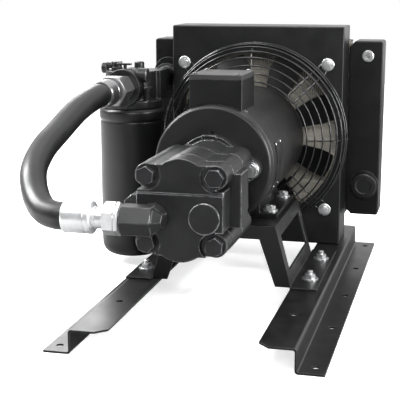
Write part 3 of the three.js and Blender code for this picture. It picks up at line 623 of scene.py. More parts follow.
def make_tone() -> Effect:
    """Builds the effect that lets a colour drift between two tones over the surface."""
    effect = Effect("tone", {"Dark": (COLOUR, (0, 0, 0, 1)), "Light": (COLOUR, (1, 1, 1, 1)),
                             "Scale": (FLOAT, 30.0)}, {"Color": COLOUR, "Value": FLOAT})
    t = effect.tree
    place = t.put("ShaderNodeTexCoord").outputs["Object"]
    cloud = t.put("ShaderNodeTexNoise", {"Vector": place, "Scale": effect.given["Scale"], "Detail": 5.0,
                                         "Roughness": 0.6}).outputs["Fac"]
    spread = t.ramp(cloud, 0.3, 0.7)
    effect.out("Color", t.blend(spread, effect.given["Dark"], effect.given["Light"]))
    effect.out("Value", spread)
    return effect


def make_grain() -> Effect:
    """Builds the effect that gives a skin its fine grain, drawn out where the surface was worked."""
    effect = Effect("grain", {"Scale": (FLOAT, 800.0), "Stretch": (VECTOR, (1, 1, 1))}, {"Height": FLOAT})
    t = effect.tree
    place = t.put("ShaderNodeTexCoord").outputs["Object"]
    drawn = t.put("ShaderNodeVectorMath", {0: place, 1: effect.given["Stretch"]},
                  operation="MULTIPLY").outputs[0]
    fine = t.put("ShaderNodeTexNoise", {"Vector": drawn, "Scale": effect.given["Scale"],
                                        "Detail": 3.0}).outputs["Fac"]
    coarse = t.sum("MULTIPLY", effect.given["Scale"], 0.22)
    broad = t.put("ShaderNodeTexNoise", {"Vector": drawn, "Detail": 2.0, "Scale": coarse}).outputs["Fac"]
    effect.out("Height", t.sum("ADD", t.sum("MULTIPLY", fine, 0.6), t.sum("MULTIPLY", broad, 0.4)))
    return effect


def make_wear_and_highlight() -> Effect:
    """Builds the effect that finds the outer edges, where paint thins and metal polishes; its lighter edge
    colour is also a painted highlight along the edges.
    """
    effect = Effect("edge_wear_and_highlight", {"Amount": (FLOAT, 0.5), "Scale": (FLOAT, 90.0), "Reach": (FLOAT, 0.0009)},
                    {"Mask": FLOAT})
    t = effect.tree
    rounded = t.put("ShaderNodeBevel", {"Radius": effect.given["Reach"]}, samples=4).outputs[0]
    true = t.put("ShaderNodeNewGeometry").outputs["Normal"]
    same = t.put("ShaderNodeVectorMath", {0: rounded, 1: true}, operation="DOT_PRODUCT").outputs["Value"]
    sharp = t.ramp(same, 0.99, 0.88)
    place = t.put("ShaderNodeTexCoord").outputs["Object"]
    broken = t.put("ShaderNodeTexNoise", {"Vector": place, "Scale": effect.given["Scale"],
                                          "Detail": 4.0}).outputs["Fac"]
    patch = t.ramp(broken, 0.35, 0.6)
    mask = t.sum("MULTIPLY", t.sum("MULTIPLY", sharp, patch), effect.given["Amount"], clamp=True)
    effect.out("Mask", mask)
    return effect


def make_dust() -> Effect:
    """Builds the effect that settles a thin dust on surfaces that face up."""
    effect = Effect("dust", {"Amount": (FLOAT, 0.2), "Scale": (FLOAT, 60.0)}, {"Mask": FLOAT})
    t = effect.tree
    normal = t.put("ShaderNodeNewGeometry").outputs["Normal"]
    up = t.put("ShaderNodeSeparateXYZ", {0: normal}).outputs[2]
    place = t.put("ShaderNodeTexCoord").outputs["Object"]
    cloud = t.put("ShaderNodeTexNoise", {"Vector": place, "Scale": effect.given["Scale"],
                                         "Detail": 6.0}).outputs["Fac"]
    patch = t.ramp(cloud, 0.35, 0.75)
    effect.out("Mask", t.sum("MULTIPLY", t.sum("MULTIPLY", up, patch, clamp=True), effect.given["Amount"]))
    return effect


TONE, GRAIN, WEAR_AND_HIGHLIGHT, DUST = make_tone(), make_grain(), make_wear_and_highlight(), make_dust()


@dataclass(frozen=True)
class Finish:
    """A surface finish: two tones, a grain, worn edges with a painted edge highlight, and a little dust."""

    name: str
    slot: str
    dark: tuple[float, float, float]
    light: tuple[float, float, float]
    roughness: float
    metallic: float = 0.0
    coat: float = 0.0
    tone_scale: float = 30.0
    grain_scale: float = 900.0
    grain_depth: float = 0.00004
    marks: Marks = Marks.NONE
    wear_and_highlight: float = 0.0
    wear_and_highlight_tone: tuple[float, float, float] = (0.30, 0.30, 0.31)
    wear_and_highlight_reach: float = 0.0009
    dust: float = 0.0
    specular: float = 0.38

    def material(self) -> bpy.types.Material:
        """Gives this finish's material, made on its first use."""
        known = bpy.data.materials.get(self.name)
        if known:
            return known
        material = bpy.data.materials.new(self.name)
        material.use_nodes = True
        material.node_tree.nodes.clear()
        t = Tree(material.node_tree)
        tone = TONE.use(t, {"Dark": (*self.dark, 1), "Light": (*self.light, 1), "Scale": self.tone_scale})
        grain = GRAIN.use(t, {"Scale": self.grain_scale, "Stretch": self.marks.value})
        colour = tone.outputs["Color"]
        metallic: object = self.metallic
        # Lighter, more metallic edges: partly worn paint, partly a painted highlight along the edges.
        if self.wear_and_highlight:
            mask = WEAR_AND_HIGHLIGHT.use(t, {"Amount": self.wear_and_highlight, "Reach": self.wear_and_highlight_reach}).outputs["Mask"]
            colour = t.blend(mask, colour, (*self.wear_and_highlight_tone, 1))
            if self.metallic < 1:
                metallic = t.sum("MAXIMUM", mask, self.metallic)
        if self.dust:
            settled = DUST.use(t, {"Amount": self.dust}).outputs["Mask"]
            colour = t.blend(settled, colour, DUST_TONE)
        rough = t.ramp(tone.outputs["Value"], 0.0, 1.0, self.roughness * (1 - ROUGH_SWING),
                       min(1.0, self.roughness * (1 + ROUGH_SWING)))
        bump = t.put("ShaderNodeBump", {"Height": grain.outputs["Height"], "Strength": 1.0,
                                        "Distance": self.grain_depth}).outputs[0]
        shader = t.put("ShaderNodeBsdfPrincipled", {"Base Color": colour, "Roughness": rough,
                                                    "Metallic": metallic, "Normal": bump,
                                                    "Coat Weight": self.coat,
                                                    "Specular IOR Level": self.specular})
        t.put("ShaderNodeOutputMaterial", {"Surface": shader.outputs[0]})
        return material


@dataclass(frozen=True)
class Finishes:
    """Every finish on the cooler."""

    powder: Finish = Finish(
        "black_powder_coat", "black_powder", (0.0034, 0.0035, 0.0037), (0.0050, 0.0051, 0.0053), 0.34,
        grain_scale=1400, grain_depth=0.00003, wear_and_highlight=0.6, dust=0.02)
    paint: Finish = Finish(
        "black_satin_paint", "black_paint", (0.0036, 0.0037, 0.0039), (0.0056, 0.0057, 0.0060), 0.34,
        grain_scale=1100, grain_depth=0.00003, wear_and_highlight=0.55, dust=0.02)
    motor: Finish = Finish(
        "motor_paint", "black_paint", (0.0046, 0.0046, 0.0047), (0.0085, 0.0085, 0.0085), 0.38,
        tone_scale=14, grain_scale=900, grain_depth=0.00005, wear_and_highlight=0.45, dust=0.03)
    tank: Finish = Finish(
        "tank_paint", "black_paint", (0.0022, 0.0023, 0.0024), (0.0034, 0.0035, 0.0037), 0.36,
        grain_scale=1000, grain_depth=0.00004, wear_and_highlight=0.35, dust=0.01, specular=0.26)
    wire: Finish = Finish(
        "black_wire_coat", "black_wire", (0.006, 0.006, 0.0065), (0.010, 0.010, 0.0105), 0.22,
        grain_scale=1800, grain_depth=0.00001, coat=0.6)
    fan: Finish = Finish(
        "fan_moulding", "black_paint", (0.0035, 0.0035, 0.0038), (0.0055, 0.0055, 0.0058), 0.5,
        grain_scale=1500, grain_depth=0.00002)
    # The casting's light edge tone at a high amount is mostly a painted highlight along its rounded edges,
    # with some wear.
    casting: Finish = Finish(
        "pump_casting", "cast_iron", (0.011, 0.0112, 0.0118), (0.020, 0.0203, 0.0211), 0.36,
        metallic=0.25, tone_scale=22, grain_scale=700, grain_depth=0.00010, wear_and_highlight=1.3, wear_and_highlight_reach=0.0018,
        wear_and_highlight_tone=(0.62, 0.62, 0.64), dust=0.02)
    # The bolts' light edge tone at a high amount is mostly a painted highlight on the hexagons' edges, with
    # some wear.
    black_oxide: Finish = Finish(
        "black_oxide_steel", "dark_steel", (0.016, 0.016, 0.0172), (0.028, 0.028, 0.0295), 0.34,
        metallic=0.4, grain_scale=1500, grain_depth=0.00002, wear_and_highlight=1.2, wear_and_highlight_tone=(0.75, 0.75, 0.77))
    grey_steel: Finish = Finish(
        "grey_fitting_steel", "dark_steel", (0.22, 0.22, 0.225), (0.34, 0.34, 0.345), 0.32, metallic=0.9,
        tone_scale=60, grain_scale=1300, grain_depth=0.00003, marks=Marks.ALONG_X, wear_and_highlight=0.6,
        wear_and_highlight_tone=(0.75, 0.75, 0.76))
    zinc: Finish = Finish(
        "bright_zinc", "zinc_steel", (0.46, 0.465, 0.47), (0.58, 0.585, 0.59), 0.30, metallic=0.86,
        tone_scale=90, grain_scale=1600, grain_depth=0.00004, wear_and_highlight=0.2, wear_and_highlight_tone=(0.9, 0.9, 0.9))
    plated: Finish = Finish(
        "plated_fitting", "zinc_steel", (0.68, 0.69, 0.70), (0.82, 0.83, 0.84), 0.33, metallic=0.78,
        tone_scale=90, grain_scale=1600, grain_depth=0.00004, wear_and_highlight=0.2, wear_and_highlight_tone=(0.9, 0.9, 0.9))
    ground: Finish = Finish(
        "ground_bar_steel", "ground_steel", (0.46, 0.46, 0.47), (0.62, 0.62, 0.63), 0.26, metallic=1.0,
        grain_scale=1500, marks=Marks.ALONG_Z)
    laminations: Finish = Finish(
        "stacked_laminations", "dark_steel", (0.06, 0.06, 0.063), (0.16, 0.16, 0.165), 0.42, metallic=0.8,
        grain_scale=700, grain_depth=0.0002, marks=Marks.ALONG_X)
    fins: Finish = Finish(
        "core_aluminium", "core_fins", (0.48, 0.445, 0.39), (0.60, 0.56, 0.495), 0.55, metallic=0.0,
        tone_scale=160, grain_scale=900, grain_depth=0.00008, marks=Marks.ALONG_Z)
    bronze: Finish = Finish(
        "bearing_bronze", "bronze", (0.42, 0.26, 0.10), (0.56, 0.37, 0.16), 0.32, metallic=1.0,
        grain_scale=1400)
    copper: Finish = Finish(
        "varnished_copper", "copper", (0.34, 0.11, 0.04), (0.55, 0.20, 0.08), 0.30, metallic=0.9,
        coat=0.5, grain_scale=600, grain_depth=0.0003, marks=Marks.ALONG_Y)
    lid: Finish = Finish(
        "lid_satin_paint", "lid_paint", (0.022, 0.0222, 0.0228), (0.032, 0.0323, 0.033), 0.44,
        grain_scale=1100, wear_and_highlight=0.2, dust=0.12)
    seal: Finish = Finish(
        "soft_seal_rubber", "seal_rubber", (0.012, 0.012, 0.012), (0.020, 0.020, 0.020), 0.6,
        grain_scale=1200)
    hose: Finish = Finish(
        "hose_cover", "hose_rubber", (0.0060, 0.0060, 0.0063), (0.0110, 0.0110, 0.0115), 0.42,
        tone_scale=50, grain_scale=900, grain_depth=0.00008, coat=0.05, specular=0.5)
    paper: Finish = Finish(
        "pleated_paper", "filter_paper", (0.55, 0.48, 0.34), (0.72, 0.66, 0.50), 0.85, grain_scale=500,
        grain_depth=0.0001, marks=Marks.ALONG_Z)


FINISH = Finishes()


def piece(name: str, shape: Shape, finish: Finish, body: str = FRAME_BODY, replaces: Sequence[str] = (),
          crease: float = 34.0) -> bpy.types.Object:
    """Turns a shape into a finished piece that rides on a body.

    Args:
        name: the piece's name.
        shape: its closed mesh, in millimetres on the layout's axes.
        finish: what it is finished with.
        body: the CAD body that it moves with.
        replaces: the CAD nodes that it stands for.
        crease: turn, in degrees, past which an edge stays crisp.

    Returns:
        The piece's object.
    """
    mesh = shape.to_mesh(name)
    shape.bm.free()
    mesh.transform(Matrix.Translation(DATUM) @ Matrix.Scale(MM, 4))
    mesh.shade_smooth()
    mesh.set_sharp_from_angle(angle=math.radians(crease))
    mesh.materials.clear()
    mesh.materials.append(finish.material())
    mesh.polygons.foreach_set("material_index", [0] * len(mesh.polygons))
    made = bpy.data.objects.new(name, mesh)
    bpy.context.scene.collection.objects.link(made)
    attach(made, body)
    if len(mesh.polygons) < DENSE_SKIN:
        even = made.modifiers.new("even_shading", "WEIGHTED_NORMAL")
        even.keep_sharp = True
    if replaces:
        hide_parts(*replaces)
    LOG.info("%s: %d faces, %s", name, len(mesh.polygons), finish.name)
    return made


def dress(finish: Finish, *nodes: str) -> None:
    """Gives CAD nodes that stay as they are their finish."""
    for node in nodes:
        data = frame["nodes"][node]
        for slot in data.material_slots:
            slot.material = finish.material()
        LOG.info("%s: kept, %s", node, finish.name)


# -------------------------------------------------------------------------------- shared hardware


@dataclass
class HexScrew:
    """A flanged or plain hexagon screw with a chamfered head and, on request, a washer."""

    across: float
    height: float
    shank: float
    washer: float = 0.0
    washer_height: float = 1.6
    flanged: bool = False
    recess: float = 0.33

    def shape(self, seat: Sequence[float], axis: Axis, sense: float, reach: float,
              turn: float = 0.0) -> Shape:
        """Builds the screw.

        Args:
            seat: the point of its axis at which the washer or head bears.
            axis: direction of its axis.
            sense: +1 if the head is on the positive side of the seat, -1 if on the negative side.
            reach: length of shank past the seat.
            turn: angle of the hexagon.

        Returns:
            The head, washer and shank.
        """
        base = self.washer_height if self.washer else 0.0
        ends = sorted((sense * (base - 0.05), sense * (base + self.height)))
        head = Shape.hexagon(seat, axis, self.across, ends[0], ends[1], turn, chamfer=self.height * 0.13)
        top = sense * (base + self.height)
        wide = self.across * self.recess
        shank = Shape.turned(seat, axis, [(0, sense * 0.5), (self.shank, sense * 0.5),
                                          (self.shank, -sense * (reach - 0.8)),
                                          (self.shank - 0.8, -sense * reach), (0, -sense * reach)], 32)
        parts = [shank]
        if self.recess:
            face = [(0, top - sense), (wide, top - sense), (wide, top + sense * 0.35),
                    (wide * 0.9, top + sense * 0.5), (0, top + sense * 0.5)]
            parts.append(Shape.turned(seat, axis, face, 32))
        if self.washer:
            rim = [(0, 0.0), (self.washer, 0.0), (self.washer, sense * base * 0.45)]
            if self.flanged:
                rim += [(self.washer - 0.5, sense * base * 0.7), (self.across * 0.62, sense * base)]
            else:
                rim += [(self.washer, sense * base * 0.8), (self.washer - 0.4, sense * base)]
            parts.append(Shape.turned(seat, axis, [*rim, (0, sense * base)], 48))
        return head.with_(*parts)


def hex_nut(seat: Sequence[float], axis: Axis, across: float, start: float, end: float, bore: float) -> Shape:
    """Builds a chamfered nut with its bore."""
    nut = Shape.hexagon(seat, axis, across, start, end, 0.3, chamfer=(end - start) * 0.12)
    hole = Shape.turned(seat, axis, [(0, start - 1), (bore, start - 1), (bore, end + 1), (0, end + 1)], 32)
    return nut.cut(hole)


# ------------------------------------------------------------------------------------ base and stand


@dataclass
class BaseFrame:
    """The two pressed rails and the bent motor stand that is bolted across them."""

    mid: float = 9.5
    inner: float = 87.5
    web: float = 132.0
    outer: float = 163.0
    sheet: float = 2.5
    corner: float = 14.0
    slot_radius: float = 4.5
    slot_pitch: float = 140.0
    slot_x: float = 150.0
    last_slot_y: float = 110.9
    spare_hole: tuple[float, float] = (109.0, -351.0)
    bend: float = 4.0
    stand_mid: float = 4.0
    stand_bolt_x: float = 112.5
    stand_bolt_y: tuple[float, ...] = (-205.0, -98.0)

    def rail(self, side: int) -> Shape:
        """Builds one rail: a raised flange, a web and a foot flange with five holes."""
        low, high = span("left_rail" if side < 0 else "right_rail")
        top, sheet = high.z, self.sheet
        inside, outside = self.bend, self.bend - sheet + 0.6
        section = [(self.inner, top, 0), (self.web, top, inside), (self.web, sheet, outside),
                   (self.outer, sheet, 0), (self.outer, 0, 0), (self.web - sheet, 0, inside),
                   (self.web - sheet, top - sheet, outside), (self.inner, top - sheet, 0)]
        rail = Shape.plate([(self.mid + side * x, z, r) for x, z, r in section], Axis.Y, low.y, high.y)
        edge, tip = self.mid + side * (self.inner - 1), self.mid + side * (self.inner + self.corner)
        corner = Shape.plate([(edge, low.y - 1), (tip, low.y - 1), (edge, low.y + self.corner)],
                             Axis.Z, top - 5, top + 1)
        holes = [Shape.rod((self.mid + side * self.slot_x, self.last_slot_y - i * self.slot_pitch, -1),
                           (self.mid + side * self.slot_x, self.last_slot_y - i * self.slot_pitch, sheet + 1),
                           self.slot_radius, 32) for i in range(5)]
        x, y = self.spare_hole
        holes.append(Shape.rod((self.mid + side * x, y, top - 4), (self.mid + side * x, y, top + 1),
                               self.slot_radius, 32))
        return rail.cut(corner, *holes).bevelled(0.35, 2, 60)

    def bolts(self) -> list[tuple[str, Vector]]:
        """Gives the name and the seat of each bolt that holds the stand to the rails."""
        seat = span("left_rail")[1].z + 0.3 + self.sheet
        return [(f"stand_bolt_{label}_{i + 1}", Vector((self.stand_mid + side * self.stand_bolt_x, y, seat)))
                for label, side in SIDES for i, y in enumerate(self.stand_bolt_y)]

    def build(self) -> None:
        """Makes the rails, the stand and its bolts."""
        for name, side in (("left_rail", -1), ("right_rail", 1)):
            piece(f"{name}_pressing", self.rail(side), FINISH.powder, replaces=[name])
        stand = Shape.from_node("motor_stand").bevelled(0.5, 2, 20)
        piece("motor_stand_pressing", stand, FINISH.powder, replaces=["motor_stand"])
        screw = HexScrew(13.0, 5.6, 4.0, washer=11.0, washer_height=2.0)
        for name, seat in self.bolts():
            nut_seat = seat - Vector((0, 0, 2 * self.sheet + 0.3))
            body = screw.shape(seat, Axis.Z, 1.0, 14.0, 0.35)
            stud = Shape.turned(seat, Axis.Z, [(0, 7.0), (4, 7.0), (4, 11.2), (3.2, 12), (0, 12)], 32)
            nut = hex_nut(nut_seat, Axis.Z, 13.0, -6.8, 0.0, 3.95)
            piece(name, body.with_(stud, nut), FINISH.zinc)


# ------------------------------------------------------------------------------- shroud, guard, fan


@dataclass
class FanEnd:
    """The sheet shroud, the wire guard with its bolts, and the fan."""

    sheet: float = 2.0
    opening: float = 124.0
    collar: float = 18.0
    bolt_offset: float = 107.6
    wire: float = 1.2
    eye: float = 6.6
    rings: tuple[tuple[float, float], ...] = ((138, -4), (136.5, -13), (133, -22), (127, -30), (118.5, -35),
                                              (107, -37), (95.5, -37), (84, -37))
    spoke: tuple[tuple[float, float], ...] = ((83, -34.6), (95, -34.6), (107, -34.6), (117.6, -32.7),
                                              (125.3, -28.2), (130.8, -20.8), (134.2, -12.2), (136.2, -5.2),
                                              (139.5, -1.8), (145, -1.7))
    blades: int = 8
    hub: float = 40.0
    tip: float = 121.0
    root_width: float = 17.0
    tip_gap: float = 48.0
    pitch: float = 0.5
    blade_sheet: float = 2.4

    def bolt_places(self) -> list[tuple[float, float]]:
        """Gives X and Z of the four guard bolts."""
        o = self.bolt_offset
        return [(-o, AXIS_Z + o), (o, AXIS_Z + o), (-o, AXIS_Z - o), (o, AXIS_Z - o)]

    def shroud(self) -> Shape:
        """Builds the folded shroud with its flanged opening."""
        low, high = span("fan_shroud")
        s = self.sheet
        shell = Shape.block((low.x, 0, low.z), (high.x, high.y, high.z))
        shell.bevelled(2.0, 4, 60, lambda e: all(v.co.y < 1 for v in e.verts)
                       or abs(e.verts[0].co.y - e.verts[1].co.y) > 1)
        inside = Shape.block((low.x + s, s, low.z + s), (high.x - s, high.y + 1, high.z - s))
        hole = Shape.rod((0, -1, AXIS_Z), (0, s + 1, AXIS_Z), self.opening, 128)
        bolts = [Shape.rod((x, -1, z), (x, s + 1, z), 4.4, 24) for x, z in self.bolt_places()]
        collar = Shape.turned((0, 0, AXIS_Z), Axis.Y, [
            (self.opening + s + 2.2, 0.3), (self.opening + 0.9, 0.3), (self.opening, 1.6),
            (self.opening, self.collar), (self.opening + s, self.collar), (self.opening + s, 3.2),
            (self.opening + s + 2.2, 1.6)], 128)
        return shell.cut(inside, hole, *bolts).join(collar)

    def guard(self) -> Shape:
        """Builds the wire guard: rings, straight spokes, and looped spokes that end round the bolts."""
        centre = (0, 0, AXIS_Z)
        guard = Shape.torus((0, self.rings[0][1], AXIS_Z), Axis.Y, self.rings[0][0], self.wire)
        guard.with_(*(Shape.torus((0, y, AXIS_Z), Axis.Y, r, self.wire) for r, y in self.rings[1:]))
        eye_centre = self.bolt_offset * math.sqrt(2)
        loop = [(eye_centre + self.eye * math.sin(a), -self.eye * math.cos(a))
                for a in (math.pi * i / 12 for i in range(13))]
        inner_bend = [(81.6, -34.7, t) for t in (-self.eye * 0.8, 0.0, self.eye * 0.8)]
        for quarter in range(4):
            angle = quarter * math.pi / 2
            straight = Shape.wire([(r, y, AXIS_Z) for r, y in self.spoke[:-1]], self.wire)
            out = [(r, y, AXIS_Z - self.eye) for r, y in self.spoke]
            bend = [(r, -1.7, AXIS_Z + t) for r, t in loop]
            back = [(r, y, AXIS_Z + self.eye) for r, y in reversed(self.spoke)]
            closing = [(r, y, AXIS_Z + t) for r, y, t in reversed(inner_bend)]
            paired = Shape.wire(out + bend + back + closing + [out[0]], self.wire)
            guard.with_(straight.rotated(-angle, Axis.Y, centre),
                        paired.rotated(-angle - math.pi / 4, Axis.Y, centre))
        return guard

    def blade(self) -> Shape:
        """Builds one cupped blade along +X: narrow at the hub, wide and round-cornered at the tip."""
        bm = bmesh.new()
        bmesh.ops.create_grid(bm, x_segments=14, y_segments=10, size=1.0)
        tip_width = 2 * math.pi * self.tip / self.blades - self.tip_gap
        for v in bm.verts:
            along, across = (v.co.x + 1) / 2, v.co.y
            radius = self.hub - 2 + along * (self.tip - self.hub + 1.4)
            width = self.root_width + (tip_width - self.root_width) * min(1.0, along * 1.35)
            corner = 1 - 0.07 * max(0.0, (along - 0.9) / 0.1) ** 2
            radius -= 2.2 * along * across * across
            cup = 2.0 * (1 - across * across) * (0.3 + 0.7 * along)
            v.co = (radius, cup, across * width / 2 * corner)
        bmesh.ops.solidify(bm, geom=bm.faces[:], thickness=self.blade_sheet)
        bmesh.ops.recalc_face_normals(bm, faces=bm.faces)
        blade = Shape(bm)
        blade.moved(y=-1.0)
        return blade.bevelled(0.5, 2, 50).rotated(self.pitch, Axis.X, (0, 0, 0))

    def fan(self) -> Shape:
        """Builds the fan: a domed hub, its bore and eight blades."""
        front, back, bore = 6.0, 44.0, 9.8
        hub = Shape.turned((0, 0, AXIS_Z), Axis.Y, [
            (bore, front), (self.hub - 7, front), (self.hub - 2.5, front + 1.6), (self.hub, front + 6),
            (self.hub, back), (self.hub - 3, back), (self.hub - 3, front + 7), (self.hub - 6, front + 4),
            (17, front + 4), (17, back - 4), (bore, back - 4)], 96)
        for i in range(self.blades):
            blade = self.blade().moved(0, (front + back) / 2, AXIS_Z)
            hub.with_(blade.rotated((i + 0.5) * 2 * math.pi / self.blades, Axis.Y, (0, 0, AXIS_Z)))
        return hub

    def build(self) -> None:
        """Makes the shroud, the guard, its bolts and the fan."""
        piece("fan_shroud_folding", self.shroud(), FINISH.powder, replaces=["fan_shroud"])
        piece("fan_guard_wires", self.guard(), FINISH.wire, replaces=["fan_guard"], crease=60)
        screw = HexScrew(10.5, 4.4, 4.0, washer=9.25, washer_height=1.8, flanged=True)
        for i, (x, z) in enumerate(self.bolt_places()):
            bolt = screw.shape((x, -3.2, z), Axis.Y, -1.0, 3.2 + self.sheet + 10, 0.2)
            nut = hex_nut((x, 0, z), Axis.Y, 13.0, self.sheet + 0.3, self.sheet + 6.8, 3.95)
            piece(f"guard_screw_{i + 1}", bolt.with_(nut), FINISH.zinc, replaces=[f"guard_bolt_{i + 1}"])
        piece("fan_wheel", self.fan(), FINISH.fan, body=ROTOR_BODY, replaces=["fan"])


# ------------------------------------------------------------------------------------------ cooler


@dataclass
class Cooler:
    """The plate-fin core between its two welded tanks."""

    rows: int = 12
    bar: float = 7.0
    fin_pitch: float = 3.2
    fin_depth: float = 3.0
    wall: float = 4.0
    chamfer: float = 9.0
    collar_radius: float = 22.0

    def fin_strip(self, left: float, right: float, front: float, low: float, high: float,
                  sense: float) -> Shape:
        """Builds one row of folded fins as seen at the core's face.

        Args:
            left: lowest X.
            right: highest X.
            front: Y of the folds' outer edge.
            low: lowest Z.
            high: highest Z.
            sense: +1 if the folds reach towards +Y, -1 if towards -Y.

        Returns:
            The folded strip.
        """
        count = int((right - left) / self.fin_pitch)
        pitch = (right - left) / count
        thin = 0.45
        bm = bmesh.new()
        points = []
        far = front + sense * self.fin_depth
        for i in range(count):
            x = left + i * pitch
            points += [(x, front), (x + pitch * 0.56, front), (x + pitch * 0.66, far),
                       (x + pitch * 0.90, far)]
        verts = [bm.verts.new((x, y, low)) for x, y in points]
        edges = [bm.edges.new(pair) for pair in zip(verts, verts[1:])]
        grown = bmesh.ops.extrude_edge_only(bm, edges=edges)["geom"]
        raised = [g for g in grown if isinstance(g, bmesh.types.BMVert)]
        bmesh.ops.translate(bm, verts=raised, vec=(0, 0, high - low))
        bmesh.ops.solidify(bm, geom=bm.faces[:], thickness=thin)
        bmesh.ops.recalc_face_normals(bm, faces=bm.faces)
        return Shape(bm)

    def core(self) -> Shape:
        """Builds the core: a solid middle, bars between the rows and folded fins at both faces."""
        low, high = span("cooler_core")
        pitch = (high.z - 3 - low.z) / self.rows
        depth = self.fin_depth + 2.5
        core = Shape.block((low.x, low.y + depth, low.z), (high.x, high.y - depth, high.z))
        for row in range(self.rows + 1):
            z = low.z + row * pitch
            top = z + (self.bar if row < self.rows else 3.0)
            bar = Shape.block((low.x, low.y, z), (high.x, high.y, top))
            core.with_(bar.bevelled(0.6, 2, 60))
            if row < self.rows:
                for face, sense in ((low.y + 1.4, 1.0), (high.y - 1.4, -1.0)):
                    strip = self.fin_strip(low.x + 0.6, high.x - 0.8, face,
                                           top + 0.05, z + pitch - 0.05, sense)
                    core.with_(strip)
        return core

    def ports(self, side: int) -> dict[str, tuple[float, float]]:
        """Gives X and Z of a tank's large and small port, read from the pieces that sit in them."""
        plug = middle("left_tank_plug" if side < 0 else "right_tank_plug")
        large = middle("outlet_fitting") if side < 0 else middle("tank_port_cap")
        x = plug.x
        return {"large": (x, 278.6 if side < 0 else large.z), "small": (x, plug.z)}

    def tank(self, side: int) -> Shape:
        """Builds one tank with its chamfered ends, port collar and bores."""
        name = "left_tank" if side < 0 else "right_tank"
        low, high = span(name)
        front = span("cooler_core")[0].y
        core_side, outer = (high.x, low.x) if side < 0 else (low.x, high.x)
        knee = core_side + side * self.chamfer
        c = self.chamfer
        shell = Shape.plate([(core_side, low.z + c, 0), (knee, low.z, 1.5), (outer, low.z, 4.0),
                               (outer, high.z, 4.0), (knee, high.z, 1.5), (core_side, high.z - c, 0)],
                              Axis.Y, front, high.y, 5)
        shell.bevelled(2.2, 3, 60)
        ends = sorted((core_side - side, outer - side * self.wall))
        hollow = Shape.block((ends[0], front + self.wall, low.z + c + self.wall),
                             (ends[1], high.y - self.wall, high.z - c - self.wall))
        spots = self.ports(side)
        x, z = spots["large"]
        collar = Shape.turned((x, 0, z), Axis.Y, [(0, front + 1), (self.collar_radius, front + 1),
                                                  (self.collar_radius, front - 1.2),
                                                  (self.collar_radius, front - 2.2),
                                                  (self.collar_radius, front - 5.4),
                                                  (self.collar_radius - 0.6, front - 6), (0, front - 6)], 64)
        large = Shape.rod((x, front - 7, z), (x, front + self.wall + 1, z), 12.0, 40)
        sx, sz = spots["small"]
        small = Shape.rod((sx, front - 1, sz), (sx, front + self.wall + 1, sz), 5.9, 32)
        return shell.cut(hollow).join(collar).cut(large, small)

    def build(self) -> None:
        """Makes the core, the tanks, their plugs and the transport cap."""
        front = span("cooler_core")[0].y
        piece("cooler_core_stack", self.core(), FINISH.fins, replaces=["cooler_core"])
        for side, name in ((-1, "left_tank"), (1, "right_tank")):
            piece(f"{name}_welded", self.tank(side), FINISH.tank, replaces=[name])
            x, z = self.ports(side)["small"]
            plug = Shape.turned((x, 0, z), Axis.Y, [(0, front - 5.3), (7.6, front - 5.3), (8.9, front - 4.2),
                                                    (8.9, front - 0.3), (5.6, front - 0.3),
                                                    (5.6, front + self.wall), (0, front + self.wall)], 48)
            plug = plug.cut(Shape.hexagon((x, 0, z), Axis.Y, 8.0, front - 6, front - 2.2))
            piece(f"{name}_socket_plug", plug, FINISH.zinc, replaces=[f"{name}_plug"])
        low, high = span("tank_port_cap")
        x, z = self.ports(1)["large"]
        r = (high.z - low.z) / 2
        cap = Shape.turned((x, 0, z), Axis.Y, [
            (0, low.y + 1.2), (11, low.y + 1.2), (12, low.y), (r - 3, low.y), (r - 1, low.y + 0.8),
            (r, low.y + 2.4), (r, high.y - 9), (11.5, high.y - 9), (11.5, high.y), (0, high.y)], 64)
        piece("tank_transport_cap", cap, FINISH.paint, replaces=["tank_port_cap"])


# ------------------------------------------------------------------------------------------- motor


